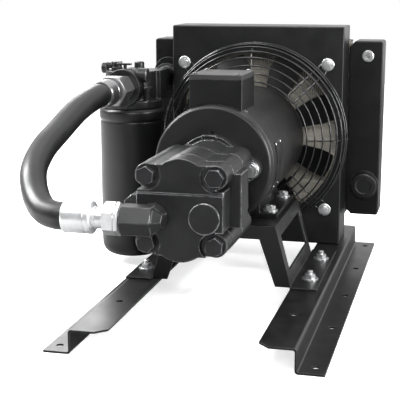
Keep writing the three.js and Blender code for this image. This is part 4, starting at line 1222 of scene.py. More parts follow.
@dataclass
class Motor:
    """The motor: tube, end shields, feet, terminal box and data plate."""

    radius: float = 76.0
    bore: float = 68.0
    face_radius: float = 72.0
    ear_x: float = 53.2
    foot_bolt_x: float = 57.0
    foot_bolt_y: tuple[float, ...] = (-178.0, -79.0)

    def housing(self) -> Shape:
        """Builds the rolled tube with softly turned ends and the cable hole under the terminal box."""
        low, high = span("motor_housing")
        tube = Shape.turned((0, 0, AXIS_Z), Axis.Y, [
            (self.bore, low.y), (self.radius - 1.2, low.y), (self.radius, low.y + 1.2),
            (self.radius, high.y - 1.2), (self.radius - 1.2, high.y), (self.bore, high.y)], 128)
        return tube.cut(Shape.rod((0, -224, AXIS_Z + 60), (0, -224, AXIS_Z + 90), 9.0, 32))

    def front_shield(self) -> Shape:
        """Builds the pump-side shield: a flat face with a turned rim, bolt holes and a vent."""
        low, high = span("motor_front_shield")
        tube_front = span("motor_housing")[0].y
        r, seat = self.radius, 26.3
        body = Shape.turned((0, 0, AXIS_Z), Axis.Y, [
            (18, low.y), (self.face_radius - 0.8, low.y), (self.face_radius + 1.6, low.y + 1.0),
            (r - 0.6, low.y + 3.4), (r, low.y + 5.2), (r, tube_front - 0.6), (r - 0.4, tube_front - 0.3),
            (self.bore - 0.3, tube_front - 0.3), (self.bore - 0.3, tube_front + 6),
            (seat + 6, tube_front + 6),
            (seat + 6, high.y), (seat, high.y), (seat, tube_front - 1), (18, tube_front - 1)], 128)
        ears = [Shape.rod((x, low.y - 1, AXIS_Z), (x, tube_front + 7, AXIS_Z), 5.4, 24)
                for x in (-self.ear_x, self.ear_x)]
        vent = Shape.rod((0, low.y - 1, AXIS_Z + 42), (0, low.y + 5, AXIS_Z + 42), 3.0, 24)
        return body.cut(*ears, vent)

    def rear_shield(self) -> Shape:
        """Builds the fan-side shield with a stepped boss round the shaft."""
        low, high = span("motor_rear_shield")
        tube_back = span("motor_housing")[1].y
        r, seat, shaft = self.radius, 26.3, 14.0
        return Shape.turned((0, 0, AXIS_Z), Axis.Y, [
            (shaft, high.y), (30, high.y), (33, high.y - 1.2), (r - 8, high.y - 1.2), (r - 3, high.y - 2.4),
            (r - 0.8, high.y - 4.6), (r, high.y - 7), (r, tube_back + 0.3),
            (self.bore - 0.3, tube_back + 0.3),
            (self.bore - 0.3, tube_back - 5), (seat + 6, tube_back - 5), (seat + 6, low.y), (seat, low.y),
            (seat, tube_back + 6), (shaft, tube_back + 6)], 128)

    def terminal_box(self) -> Shape:
        """Builds the folded terminal box, saddled on the tube, with its cable hole."""
        low, high = span("terminal_box")
        wall = 3.0
        shell = Shape.block((low.x, low.y, 245), high)
        shell.bevelled(1.6, 3, 60, lambda e: abs(e.verts[0].co.z - e.verts[1].co.z) > 5)
        inside = Shape.block((low.x + wall, low.y + wall, 240), (high.x - wall, high.y - wall, high.z + 1))
        saddle = Shape.rod((0, low.y - 1, AXIS_Z), (0, high.y + 1, AXIS_Z), self.radius + 0.3, 128)
        gland = Shape.rod((low.x - 1, -205, 284), (low.x + wall + 1, -205, 284), 8.0, 32)
        return shell.cut(inside, saddle, gland).bevelled(0.3, 1, 60)

    def lid(self) -> Shape:
        """Builds the lid, its corners and top edges rounded."""
        low, high = span("terminal_lid")
        lid = Shape.block(low, high)
        lid.bevelled(1.6, 3, 60, lambda e: abs(e.verts[0].co.z - e.verts[1].co.z) > 2)
        return lid.bevelled(0.8, 2, 60, lambda e: all(v.co.z > high.z - 0.1 for v in e.verts))

    def data_plate(self) -> Shape:
        """Builds the blank plate that follows the tube, with a raised border."""
        low, high = span("data_plate")
        inner = self.radius + 0.3
        sheet = Shape.tube((0, 0, AXIS_Z), Axis.Y, inner + 0.5, inner, low.y, high.y, 256)
        window = Shape.block((40, low.y - 1, low.z), (120, high.y + 1, high.z))
        plate = sheet.combined([window], Blend.MEET)
        border = Shape.tube((0, 0, AXIS_Z), Axis.Y, inner + 0.8, inner + 0.2, low.y, high.y, 256)
        border = border.combined([window.copied()], Blend.MEET)
        hollow = Shape.block((40, low.y + 1.6, low.z + 1.8), (120, high.y - 1.6, high.z - 1.8))
        return plate.join(border.cut(hollow))

    def build(self) -> None:
        """Makes every piece of the motor that shows and dresses those inside."""
        piece("motor_tube", self.housing(), FINISH.motor, replaces=["motor_housing"])
        piece("motor_pump_shield", self.front_shield(), FINISH.motor, replaces=["motor_front_shield"])
        piece("motor_fan_shield", self.rear_shield(), FINISH.motor, replaces=["motor_rear_shield"])
        for side in ("left", "right"):
            foot = Shape.from_node(f"motor_foot_{side}").bevelled(0.8, 2, 40)
            piece(f"motor_{side}_foot", foot, FINISH.paint, replaces=[f"motor_foot_{side}"])
        piece("terminal_box_folding", self.terminal_box(), FINISH.paint, replaces=["terminal_box"])
        piece("terminal_box_lid", self.lid(), FINISH.lid, replaces=["terminal_lid"])
        piece("data_plate_blank", self.data_plate(), FINISH.paint, replaces=["data_plate"])
        self.small_hardware()
        dress(FINISH.ground, "motor_shaft", "motor_bearing_front", "motor_bearing_rear")
        dress(FINISH.laminations, "rotor_core", "stator_core")
        dress(FINISH.copper, "stator_winding")

    def small_hardware(self) -> None:
        """Makes the foot bolts, lid screws, earth screw and plate rivets."""
        sole = span("motor_foot_left")[0].z + 6.0
        screw = HexScrew(13.0, 5.4, 4.0, washer=10.5, washer_height=1.8)
        for label, side in SIDES:
            for i, y in enumerate(self.foot_bolt_y):
                bolt = screw.shape((side * self.foot_bolt_x, y, sole), Axis.Z, 1.0, 14.0, 0.5)
                piece(f"motor_foot_bolt_{label}_{i + 1}", bolt, FINISH.zinc)
        low, high = span("terminal_lid")
        for i, (x, y) in enumerate((x, y) for x in (low.x + 6, high.x - 6) for y in (low.y + 6, high.y - 6)):
            head = Shape.turned((x, y, high.z), Axis.Z,
                                [(0, -0.5), (3.4, -0.5), (3.4, 0.8), (2.6, 1.9), (0, 2.2)], 24)
            head = head.cut(Shape.block((x - 2.4, y - 0.4, high.z + 1.2), (x + 2.4, y + 0.4, high.z + 3)),
                            Shape.block((x - 0.4, y - 2.4, high.z + 1.2), (x + 0.4, y + 2.4, high.z + 3)))
            piece(f"lid_screw_{i + 1}", head, FINISH.black_oxide)
        box = span("terminal_box")[1]
        earth = HexScrew(7.0, 2.6, 2.4, washer=4.6, washer_height=1.0).shape(
            (box.x, -246, 255), Axis.X, 1.0, 2.6, 0.2)
        piece("earth_screw", earth, FINISH.black_oxide)
        plate_low, plate_high = span("data_plate")
        front, back = plate_low.y + 4, plate_high.y - 4
        for label, angle, y in (("front", 0.315, front), ("back", 0.315, back),
                                ("low_front", -0.415, front), ("low_back", -0.415, back)):
            rivet = Shape.turned((0, y, 0), Axis.X,
                                 [(0, 76.0), (1.5, 76.0), (1.5, 77.4), (1.0, 77.9), (0, 78.0)], 20)
            rivet = rivet.rotated(-angle, Axis.Y, (0, 0, 0)).moved(z=AXIS_Z)
            piece(f"data_plate_rivet_{label}", rivet, FINISH.zinc)


# -------------------------------------------------------------------------------------------- pump


@dataclass
class GearPump:
    """The gear pump: three cast sections held by four long bolts, on a two-bolt flange."""

    axis_z: float = 166.0
    driven_z: float = 141.0
    bolt_x: float = 40.0
    bolt_z: float = 39.0
    bolt_hole: float = 6.3
    ear_x: float = 53.2
    port_x: float = 29.0
    port_z: float = 159.0
    port_radius: float = 9.0
    chamber: float = 29.8
    bolt_seat: float = -426.5
    ledge: float = 3.5
    voxel: float = 1.0

    def bolt_places(self) -> list[tuple[float, float]]:
        """Gives X and Z of the four long bolts."""
        return [(sx * self.bolt_x, self.axis_z + sz * self.bolt_z) for sz in (1, -1) for sx in (-1, 1)]

    def section(self, bulge: float, lobe: float, cheek: float, start: float, end: float) -> Shape:
        """Builds the outline that the pump's sections share.

        Args:
            bulge: radius round each gear.
            lobe: radius round each bolt.
            cheek: half width at the ports.
            start: where the section begins along Y.
            end: where it ends.

        Returns:
            The solid section.
        """
        parts = [Shape.rod((0, start, z), (0, end, z), bulge, 96) for z in (AXIS_Z, self.driven_z)]
        parts += [Shape.rod((x, start, z), (x, end, z), lobe, 64) for x, z in self.bolt_places()]
        parts.append(Shape.block((-cheek, start, self.axis_z - 23), (cheek, end, self.axis_z + 23)))
        reach = self.bolt_z + lobe - 0.8
        web = Shape.block((-self.bolt_x, start, self.axis_z - reach), (self.bolt_x, end, self.axis_z + reach))
        return web.join(*parts)

    def rods(self, places: Iterable[tuple[float, float]], radius: float, start: float,
             end: float) -> list[Shape]:
        """Makes rods along Y, for bores and spot faces."""
        return [Shape.rod((x, start, z), (x, end, z), radius, 48) for x, z in places]

    def rear_cover(self) -> Shape:
        """Builds the rear cover: raised port face, ledge above it and a sunk pad for each bolt."""
        low, high = span("pump_rear_cover")
        body = self.section(34.5, 13.9, 50.5, low.y, high.y)
        above = Shape.block((-60, low.y - 1, self.port_z + 26), (60, low.y + self.ledge, AXIS_Z + 40))
        pads = self.rods(self.bolt_places(), 16.3, low.y - 1, self.bolt_seat)
        shafts = self.rods(((0, AXIS_Z), (0, self.driven_z)), 9.3, -422, high.y + 1)
        ports = self.rods(((self.port_x, self.port_z), (-self.port_x, self.port_z)), self.port_radius,
                          low.y - 1, high.y + 1)
        holes = self.rods(self.bolt_places(), self.bolt_hole, low.y - 1, high.y + 1)
        return body.cut(above, *pads, *shafts, *ports, *holes).cast(self.voxel, 2)

    def gear_housing(self) -> Shape:
        """Builds the gear housing: port boss on the left, flat pad on the right, chambers inside."""
        low, high = span("pump_gear_housing")
        body = self.section(35.0, 14.3, 55.0, low.y, high.y)
        boss = Shape.plate([(-50, 150), (-70, 150), (-79, 156), (-79, 166), (-70, 174), (-50, 174)],
                           Axis.Y, low.y + 6, high.y - 12)
        pad = Shape.block((40, low.y, self.axis_z - 24), (high.x, -359, self.axis_z + self.bolt_z))
        chambers = self.rods(((0, AXIS_Z), (0, self.driven_z)), self.chamber, low.y - 1, high.y + 1)
        pocket = Shape.block((-38, low.y - 1, self.port_z - 7), (38, high.y + 1, self.axis_z + 9))
        holes = self.rods(self.bolt_places(), self.bolt_hole, low.y - 1, high.y + 1)
        return body.join(boss, pad).cut(*chambers, pocket, *holes).cast(self.voxel, 2)

    def front_cover(self) -> Shape:
        """Builds the front cover with its two-eared flange against the motor."""
        low, high = span("pump_front_cover")
        flange_back = -291.0
        body = self.section(34.8, 14.3, 50.5, low.y, flange_back + 1)
        room = self.rods(((self.ear_x, AXIS_Z), (-self.ear_x, AXIS_Z)), 11.6, low.y - 1, flange_back)
        flange = hull_of_circles([(0, AXIS_Z, 41.0), (self.ear_x, AXIS_Z, 11.5), (-self.ear_x, AXIS_Z, 11.5)],
                                 Axis.Y, flange_back, high.y)
        flat = Shape.block((-9, flange_back - 3, AXIS_Z + 36), (9, flange_back + 6, AXIS_Z + 41.6))
        shafts = self.rods(((0, AXIS_Z), (0, self.driven_z)), 9.3, low.y - 1, -320)
        seal = self.rods(((0, AXIS_Z),), 14.3, -322, high.y + 1)
        ears = self.rods(((self.ear_x, AXIS_Z), (-self.ear_x, AXIS_Z)), 5.4, flange_back - 1, high.y + 1)
        holes = self.rods(self.bolt_places(), self.bolt_hole, low.y - 1, -300)
        return body.cut(*room).join(flange, flat).cut(*shafts, *seal, *ears, *holes).cast(self.voxel, 3)

    def build(self) -> None:
        """Makes the pump's sections, bolts and plug, and dresses the gears and bearings inside."""
        piece("pump_rear_cover_casting", self.rear_cover(), FINISH.casting,
              replaces=["pump_rear_cover"], crease=60)
        piece("pump_gear_housing_casting", self.gear_housing(), FINISH.casting,
              replaces=["pump_gear_housing"], crease=60)
        piece("pump_flange_casting", self.front_cover(), FINISH.casting,
              replaces=["pump_front_cover"], crease=60)
        screw = HexScrew(19.0, 8.4, 5.8, washer=9.2, washer_height=0.5, recess=0.0)
        for i, (x, z) in enumerate(self.bolt_places()):
            bolt = screw.shape((x, self.bolt_seat - 0.3, z), Axis.Y, -1.0, 124.0, 0.1 + 0.35 * i)
            piece(f"pump_long_bolt_{i + 1}", bolt, FINISH.black_oxide, replaces=[f"pump_bolt_{i + 1}"])
        ear = HexScrew(16.0, 6.4, 5.0, washer=10.0, washer_height=2.0)
        for label, side in SIDES:
            bolt = ear.shape((side * self.ear_x, -291.3, AXIS_Z), Axis.Y, -1.0, 31.0, 0.35)
            piece(f"flange_screw_{label}", bolt, FINISH.zinc, replaces=[f"flange_bolt_{label}"])
        low, high = span("pump_port_plug")
        stem = self.port_radius - 0.3
        plug = Shape.turned((self.port_x, 0, self.port_z), Axis.Y, [
            (0, low.y + 0.2), (17.4, low.y + 0.2), (18.2, low.y + 0.8), (18.2, low.y + 3), (stem, low.y + 3),
            (stem, high.y), (0, high.y)], 64)
        piece("pump_suction_plug", plug, FINISH.casting, replaces=["pump_port_plug"])
        dress(FINISH.ground, "drive_gear", "driven_gear")
        dress(FINISH.bronze, "bearing_block_rear", "bearing_block_front")
        dress(FINISH.seal, "pump_shaft_seal")


# ------------------------------------------------------------------------------ elbow, hose, nuts


@dataclass
class SuctionHose:
    """The elbow on the pump, the hose to the filter and the crimped fittings at its ends."""

    elbow: tuple[float, float, float] = (-29.0, -455.0, 159.0)
    elbow_flats: float = 33.0
    hose_radius: float = 16.0
    ferrule_radius: float = 18.8
    ferrule_length: float = 47.5
    bends: tuple[tuple[float, float, float], ...] = (
        (-136.2, -455, 159), (-154.2, -448, 162), (-172, -430, 173), (-187, -402, 196), (-192, -362, 216),
        (-190, -310, 234), (-184, -252, 255), (-178, -212, 264.5), (-176.5, -196.8, 266.5))
    start: tuple[float, float, float] = (-128.2, -455, 159)
    end: tuple[float, float, float] = (-176.5, -190.8, 266.5)
    steps: int = 14

    def route(self) -> list[Vector]:
        """Gives close points along the hose: a centripetal curve through its bends."""
        points = [Vector(p) for p in (self.start, *self.bends, self.end)]
        ends = [points[0] * 2 - points[1], *points, points[-1] * 2 - points[-2]]
        path = []
        for a, b, c, d in zip(ends, ends[1:], ends[2:], ends[3:]):
            t1 = (b - a).length ** 0.5
            t2 = t1 + (c - b).length ** 0.5
            t3 = t2 + (d - c).length ** 0.5
            for i in range(self.steps):
                t = t1 + (t2 - t1) * i / self.steps
                ab = a.lerp(b, t / t1)
                bc = b.lerp(c, (t - t1) / (t2 - t1))
                cd = c.lerp(d, (t - t2) / (t3 - t2))
                path.append(ab.lerp(bc, t / t2).lerp(bc.lerp(cd, (t - t1) / (t3 - t1)), (t - t1) / (t2 - t1)))
        return [*path, points[-1]]

    def hose(self) -> Shape:
        """Builds the hose by carrying a circle along its route."""
        path = self.route()
        bm = bmesh.new()
        sides = 48
        rings = []
        frame_up = Vector((0, 0, 1))
        for i, point in enumerate(path):
            ahead = (path[min(i + 1, len(path) - 1)] - path[max(i - 1, 0)]).normalized()
            frame_up = (frame_up - ahead * frame_up.dot(ahead)).normalized()
            turn = Matrix((ahead.cross(frame_up), frame_up, ahead)).transposed().to_4x4()
            ring = bmesh.ops.create_circle(bm, segments=sides, radius=self.hose_radius,
                                           matrix=Matrix.Translation(point) @ turn)["verts"]
            rings.append(list({e for v in ring for e in v.link_edges}))
        for a, b in zip(rings, rings[1:]):
            bmesh.ops.bridge_loops(bm, edges=a + b)
        bmesh.ops.holes_fill(bm, edges=rings[0] + rings[-1], sides=0)
        bmesh.ops.recalc_face_normals(bm, faces=bm.faces)
        return Shape(bm)

    def ferrule(self, length: float) -> Shape:
        """Builds a crimped ferrule along +X with its neck at X = 0."""
        r = self.ferrule_radius
        profile = [(8, -14), (12.2, -14), (12.2, 8.6), (13.2, 9.4), (13.2, 11.4), (r - 1.6, 12.6),
                   (r - 0.3, 13.6), (r, 15.0), (r, 18.4), (r - 0.7, 19.2), (r - 0.7, 20.6), (r - 0.1, 21.6)]
        profile += [(r - 0.1, length - 5.4), (r, length - 4.6), (r, length - 1.6), (r - 1.4, length),
                    (16.3, length), (15.4, length - 0.8), (15.4, length - 2), (8, length - 2)]
        return Shape.turned((0, 0, 0), Axis.X, profile, 96)

    def elbow_body(self) -> Shape:
        """Builds the forged elbow: threaded stem, round heel and hexagon leg, bored through."""
        x, y, z = self.elbow
        seat = span("pump_rear_cover")[0].y - 0.3
        low, high = span("pump_elbow")
        leg = Shape.hexagon((0, y, z), Axis.X, self.elbow_flats, low.x, x + 6, 0.0, 1.4)
        corner = self.elbow_flats / math.sqrt(3)
        nose = Shape.rod((x + 2, y, z), (x + 16.5, y, z), corner, 6, corner * 0.46)
        shoulder = Shape.turned((x, 0, z), Axis.Y,
                                [(0, y), (16.6, y), (16.6, seat - 4), (14.6, seat), (0, seat)], 64)
        stem = Shape.rod((x, seat - 2, z), (x, high.y, z), 8.7, 48)
        flat = Shape.hexagon((x, 0, z), Axis.Y, 31.0, y + 4, seat - 5, 0.2, 1.2)
        bore = Shape.rod((low.x - 1, y, z), (x, y, z), 8.0, 40)
        bore_stem = Shape.rod((x, y, z), (x, high.y + 1, z), 6.0, 40)
        return leg.join(shoulder, stem, nose, flat).cut(bore, bore_stem).cast(0.8, 1)

    def build(self) -> None:
        """Makes the elbow, both nuts, both ferrules and the hose."""
        _, y, z = self.elbow
        piece("pump_suction_elbow", self.elbow_body(), FINISH.casting, replaces=["pump_elbow"], crease=60)
        low, high = span("lower_swivel_nut")
        nut = Shape.hexagon((0, y, z), Axis.X, 34.0, low.x, high.x, math.pi / 6, 2.2)
        groove = Shape.tube((0, y, z), Axis.X, 24.0, 16.2, high.x - 6.2, high.x - 5.0)
        bore = Shape.rod((low.x - 1, y, z), (high.x + 1, y, z), 12.8, 48)
        piece("hose_lower_nut", nut.cut(bore, groove), FINISH.plated, replaces=["lower_swivel_nut"])
        neck = span("lower_ferrule")[1].x - 14
        lower = self.ferrule(self.ferrule_length).rotated(math.pi, Axis.Z, (0, 0, 0)).moved(neck, y, z)
        piece("hose_lower_ferrule", lower, FINISH.plated, replaces=["lower_ferrule"])
        piece("hose_run", self.hose(), FINISH.hose, replaces=["hose"], crease=60)
        ex, _, ez = self.end
        low, high = span("upper_swivel_nut")
        nut = Shape.hexagon((ex, 0, ez), Axis.Y, 40.0, low.y, high.y, math.pi / 6, 2.6)
        bore = Shape.rod((ex, low.y - 1, ez), (ex, high.y + 1, ez), 12.8, 48)
        piece("hose_upper_nut", nut.cut(bore), FINISH.grey_steel, replaces=["upper_swivel_nut"])
        neck = span("upper_ferrule")[1].y - 14
        upper = self.ferrule(self.ferrule_length).rotated(-math.pi / 2, Axis.Z, (0, 0, 0)).moved(ex, neck, ez)
        piece("hose_upper_ferrule", upper, FINISH.grey_steel, replaces=["upper_ferrule"])


# ------------------------------------------------------------------------------------------ filter


@dataclass
class ReturnFilter:
    """The spin-on filter: head, canister, fittings and the joint to the left tank."""

    x: float = -176.5
    y: float = -50.0
    radius: float = 47.0
    bottom: float = 13.7
    can_top: float = 235.0
    head_top: float = 289.0
    port_z: float = 266.5
    port_x: float = -153.4

    def canister(self) -> Shape:
        """Builds the pressed can: round base, straight wall, rolled seam at its top."""
        r, b, t = self.radius, self.bottom, self.can_top
        wall = 1.6
        return Shape.turned((self.x, self.y, 0), Axis.Z, [
            (0, b + 1.2), (20, b + 0.9), (r - 17, b), (r - 12, b + 0.9), (r - 7.5, b + 3.0), (r - 4, b + 6.6),
            (r - 1.4, b + 11.6), (r - 0.3, b + 17), (r, b + 23), (r, t - 21), (r - 0.8, t - 19.6),
            (r - 0.8, t - 18), (r, t - 16.8), (r + 0.8, t - 15.4), (r + 1.2, t - 13.6), (r + 1.2, t - 6),
            (r + 0.8, t - 3.8), (r - 0.4, t - 1.6), (r - 2, t - 0.3), (43.2, t - 0.3), (43.2, t - 4),
            (36.8, t - 4), (36.8, t - 1.5), (14, t - 1.5), (14, t - 3.2), (38, t - 6), (r - wall, t - 16),
            (r - wall, b + 24), (r - 6, b + 9), (r - 14, b + 3.6), (0, b + 3)], 128)

    def head(self) -> Shape:
        """Builds the cast head: flange over the can, round middle, inlet boss and outlet block."""
        x, y, r, t, top = self.x, self.y, self.radius, self.can_top, self.head_top
        flange = Shape.rod((x, y, t + 0.3), (x, y, t + 12), r - 1, 96)
        centre = Shape.rod((x, y, t + 10), (x, y, top), 38.0, 96)
        boss = Shape.rod((x, y - 46, self.port_z), (x, y, self.port_z), 27.0, 96)
        ribs = [Shape.block((x + s * 33 - 3, y - 30, t + 6), (x + s * 33 + 3, y + 20, t + 30))
                for s in (-1, 1)]
        outlet = Shape.block((x + 4, y, t + 10), (x + 44, y + 40, top))
        chamber = Shape.rod((x, y, t - 1), (x, y, t + 20), 33.0, 64)
        spigot = Shape.rod((x, y, t - 12), (x, y, t + 24), 12.0, 48)
        spigot_bore = Shape.rod((x, y, t - 14), (x, y, top - 8), 8.0, 40)
        inlet = Shape.rod((x, y - 50, self.port_z), (x, y - 20, self.port_z), 10.0, 40)
        drop = Shape.rod((x, y - 24, t + 10), (x, y - 24, self.port_z), 6.0, 32)
        out = Shape.rod((self.port_x, y + 8, 270), (self.port_x, y + 44, 270), 9.0, 40)
        cross = Shape.rod((x, y + 14, 270), (self.port_x, y + 14, 270), 7.0, 32)
        back = Shape.rod((x, y, 270), (x, y + 14, 270), 7.0, 32)
        body = flange.join(centre, boss, outlet, *ribs).cut(chamber)
        return body.join(spigot).cut(spigot_bore, inlet, drop, out, cross, back).cast(1.0, 3)

    def outlet_fitting(self) -> Shape:
        """Builds the bolted pipe stub between the head and the left tank."""
        low, high = span("outlet_fitting")
        seat = span("cooler_core")[0].y - 6.3
        y = self.y
        flange = Shape.block((self.port_x - 20, low.y, 252),
                             (self.port_x + 20, y + 54, 288)).bevelled(2.5, 3, 60)
        z = 272.6
        pipe = Shape.turned((self.port_x, 0, z), Axis.Y, [
            (0, y + 50), (16, y + 50), (16, y + 56), (13, y + 60), (13, seat - 14), (16, seat - 12),
            (18.2, seat - 12), (19, seat - 11), (19, seat - 0.8), (18.2, seat), (11.5, seat),
            (11.5, high.y), (0, high.y)], 64)
        bore = Shape.rod((self.port_x, low.y - 1, 272), (self.port_x, high.y + 1, 272), 7.0, 40)
        return flange.join(pipe).cut(bore)

    def test_point(self) -> Shape:
        """Builds the test coupling on top of the head, with its knurled cap lying out to the side."""
        x, y, base = self.x - 24.5, self.y + 6, self.head_top + 0.3
        stem = Shape.turned((x, y, 0), Axis.Z, [(0, base), (8.5, base), (8.5, 292), (7.4, 293), (7.4, 296.5),
                                                (8.2, 297.3), (8.2, 300), (7.4, 301), (0, 301)], 48)
        arm = Shape.rod((self.x - 40, y, 295), (self.x - 24, y, 295), 4.5, 32)
        left = self.x - 47
        cap = Shape.turned((0, y, 291), Axis.X, [
            (0, left), (6.8, left), (8, left + 1), (8, left + 7.4), (7, left + 8.2), (0, left + 8.2)], 24)
        return stem.with_(arm, cap)

    def lever(self) -> Shape:
        """Builds the small tab lever on the head's top."""
        x, y, base = self.x - 4, self.y - 18, self.head_top - 0.5
        stalk = Shape.turned((x, y, 0), Axis.Z, [(0, base), (4.6, base), (4.6, base + 3), (2.6, base + 4),
                                                 (2.6, base + 9.6), (0, base + 9.6)], 32)
        tab = Shape.plate([(x - 12, y - 3.6, 2), (x + 10, y - 3.6, 3), (x + 10, y + 3.6, 3),
                           (x - 12, y + 3.6, 2)], Axis.Z, base + 9.2, base + 12.0)
        return stalk.with_(tab.bevelled(0.5, 2, 60))

    def gauge_adaptor(self) -> Shape:
        """Builds the stepped adaptor that lies across the head towards the tank."""
        x, y, z = self.x + 18, self.y - 26, 284.0
        return Shape.turned((0, y, z), Axis.X, [
            (0, x - 16), (8.4, x - 16), (9.4, x - 15), (9.4, x - 3), (8.4, x - 2), (8.4, x), (10.4, x + 1),
            (10.4, x + 14), (9.6, x + 15), (0, x + 15)], 48)

    def build(self) -> None:
        """Makes the filter's pieces and dresses the element inside."""
        piece("filter_can", self.canister(), FINISH.paint, replaces=["filter_canister"])
        piece("filter_head_casting", self.head(), FINISH.paint, replaces=["filter_head"], crease=60)
        piece("filter_outlet_stub", self.outlet_fitting(), FINISH.paint, replaces=["outlet_fitting"])
        piece("filter_test_coupling", self.test_point(), FINISH.paint, replaces=["pressure_test_point"])
        piece("filter_tab_lever", self.lever(), FINISH.paint)
        piece("filter_gauge_adaptor", self.gauge_adaptor(), FINISH.black_oxide)
        low, high = span("bleed_plug")
        mid = (low + high) / 2
        bleed = Shape.turned((mid.x, mid.y, 0), Axis.Z, [
            (0, low.z), (8.5, low.z), (8.5, low.z + 2.4), (7.4, low.z + 3), (7.4, high.z - 2),
            (6.6, high.z - 0.6), (5.6, high.z), (0, high.z)], 48)
        piece("filter_bleed_screw", bleed, FINISH.paint, replaces=["bleed_plug"])
        low, high = span("head_adaptor")
        adaptor = Shape.hexagon((self.x, 0, self.port_z), Axis.Y, 36.0, -119.7, -96.3, math.pi / 6, 2.2)
        male = Shape.rod((self.x, low.y, self.port_z), (self.x, -118, self.port_z), 11.8, 48)
        thread = Shape.rod((self.x, -97, self.port_z), (self.x, high.y, self.port_z), 9.6, 48)
        bore = Shape.rod((self.x, low.y - 1, self.port_z), (self.x, high.y + 1, self.port_z), 7.5, 40)
        piece("filter_inlet_adaptor", adaptor.join(male, thread).cut(bore), FINISH.grey_steel,
              replaces=["head_adaptor"])
        dress(FINISH.paper, "filter_element")
        dress(FINISH.seal, "filter_gasket")
        dress(FINISH.grey_steel, "bypass_valve")


# ------------------------------------------------------------------------------------------ studio


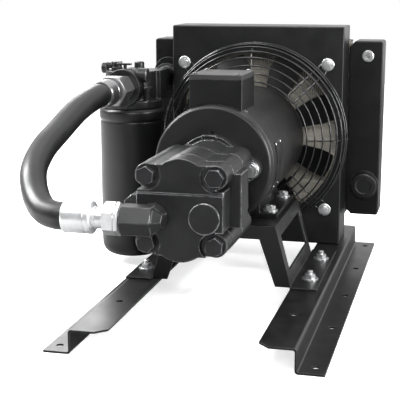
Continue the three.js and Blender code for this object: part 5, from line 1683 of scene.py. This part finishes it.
@dataclass
class Studio:
    """A white floor and surround, soft boxes and the camera."""

    lens: float = 95.8
    eye: tuple[float, float, float] = (306.6, -1556.2, 422.3)
    down: float = 11.79
    aside: float = 14.12
    floor_half: float = 3.0

    def soft_box(self, name: str, place: tuple[float, float, float], aim: tuple[float, float, float],
                 size: tuple[float, float], watts: float) -> None:
        """Hangs a rectangular light.

        Args:
            name: its name.
            place: where it hangs, in metres.
            aim: the point that it faces.
            size: its width and height in metres.
            watts: its power.
        """
        lamp = bpy.data.lights.new(name, "AREA")
        lamp.shape = "RECTANGLE"
        lamp.size, lamp.size_y = size
        lamp.energy = watts
        holder = bpy.data.objects.new(name, lamp)
        holder.location = place
        holder.rotation_euler = (Vector(aim) - Vector(place)).to_track_quat("-Z", "Y").to_euler()
        bpy.context.scene.collection.objects.link(holder)

    def surround(self) -> None:
        """Sets the world: white to the camera, bright behind and beside the object, dimmer in front."""
        world = bpy.data.worlds.new("surround")
        bpy.context.scene.world = world
        world.use_nodes = True
        world.node_tree.nodes.clear()
        t = Tree(world.node_tree)
        way = t.put("ShaderNodeTexCoord").outputs["Generated"]
        depth = t.put("ShaderNodeSeparateXYZ", {0: way}).outputs[1]
        glow = t.ramp(depth, -0.55, 0.45, 0.03, 1.05)
        seen = t.put("ShaderNodeLightPath").outputs["Is Camera Ray"]
        shown = t.put("ShaderNodeBackground", {"Color": (1, 1, 1, 1), "Strength": 1.0}).outputs[0]
        lit = t.put("ShaderNodeBackground", {"Color": (1, 1, 1, 1), "Strength": glow}).outputs[0]
        mixed = t.put("ShaderNodeMixShader", {0: seen, 1: lit, 2: shown}).outputs[0]
        t.put("ShaderNodeOutputWorld", {0: mixed})

    def floor(self) -> None:
        """Lays a plain white floor."""
        bm = bmesh.new()
        bmesh.ops.create_grid(bm, x_segments=1, y_segments=1, size=self.floor_half)
        mesh = bpy.data.meshes.new("floor")
        bm.to_mesh(mesh)
        bm.free()
        material = bpy.data.materials.new("floor_white")
        material.use_nodes = True
        material.node_tree.nodes.clear()
        t = Tree(material.node_tree)
        seen = t.put("ShaderNodeLightPath").outputs["Is Camera Ray"]
        pale = t.put("ShaderNodeBsdfPrincipled", {"Base Color": (0.9, 0.9, 0.9, 1), "Roughness": 0.9,
                                                  "Emission Color": (1, 1, 1, 1),
                                                  "Emission Strength": 0.62}).outputs[0]
        place = t.put("ShaderNodeTexCoord").outputs["Object"]
        apart = t.put("ShaderNodeSeparateXYZ", {0: place})
        near = t.ramp(apart.outputs[1], -1.5, -0.8, 0.05, 1.0)
        pale_left = t.ramp(apart.outputs[0], -0.5, -0.12, 0.9, 0.28)
        dim = t.put("ShaderNodeBsdfDiffuse", {"Color": t.sum("MULTIPLY", near, pale_left)}).outputs[0]
        shown = t.put("ShaderNodeMixShader", {0: seen, 1: dim, 2: pale}).outputs[0]
        t.put("ShaderNodeOutputMaterial", {0: shown})
        mesh.materials.append(material)
        laid = bpy.data.objects.new("floor", mesh)
        laid.location = (0, 0, -0.0005)
        bpy.context.scene.collection.objects.link(laid)

    def camera(self) -> None:
        """Places the camera."""
        lens = bpy.data.cameras.new("camera")
        lens.lens = self.lens
        lens.sensor_width = 36.0
        lens.clip_end = 50.0
        holder = bpy.data.objects.new("camera", lens)
        holder.location = Vector(self.eye) * MM + DATUM
        holder.rotation_euler = Euler((math.radians(90 - self.down), 0, math.radians(self.aside)))
        bpy.context.scene.collection.objects.link(holder)
        bpy.context.scene.camera = holder

    def build(self) -> None:
        """Sets up the whole studio."""
        self.camera()
        self.surround()
        self.floor()
        self.soft_box("overhead", (0.1, -0.1, 2.0), (0, 0, 0.1), (2.2, 2.2), 19)
        self.soft_box("left_strip", (-1.45, -0.15, 1.35), (-0.1, -0.1, 0.2), (0.5, 1.0), 62)
        self.soft_box("rim_left", (-1.0, 1.7, 1.0), (-0.15, -0.2, 0.2), (0.6, 0.9), 10)
        self.soft_box("high_front", (-0.6, -1.7, 2.3), (0, 0, 0.2), (0.8, 0.8), 30)
        self.soft_box("above_camera", (0.5, -1.9, 0.95), (0.05, 0.1, 0.2), (0.9, 0.6), 20)
        self.soft_box("right_strip", (1.7, -0.5, 0.6), (0, 0, 0.15), (0.5, 1.1), 44)
        bpy.context.scene.view_settings.view_transform = "Standard"


def main() -> None:
    """Builds the cooler piece by piece."""
    logging.basicConfig(level=logging.INFO, format="%(message)s")
    Studio().build()
    for assembly in (BaseFrame(), FanEnd(), Cooler(), Motor(), GearPump(), SuctionHose(), ReturnFilter()):
        LOG.info("-- %s", type(assembly).__name__)
        assembly.build()


if __name__ == "__main__":
    main()
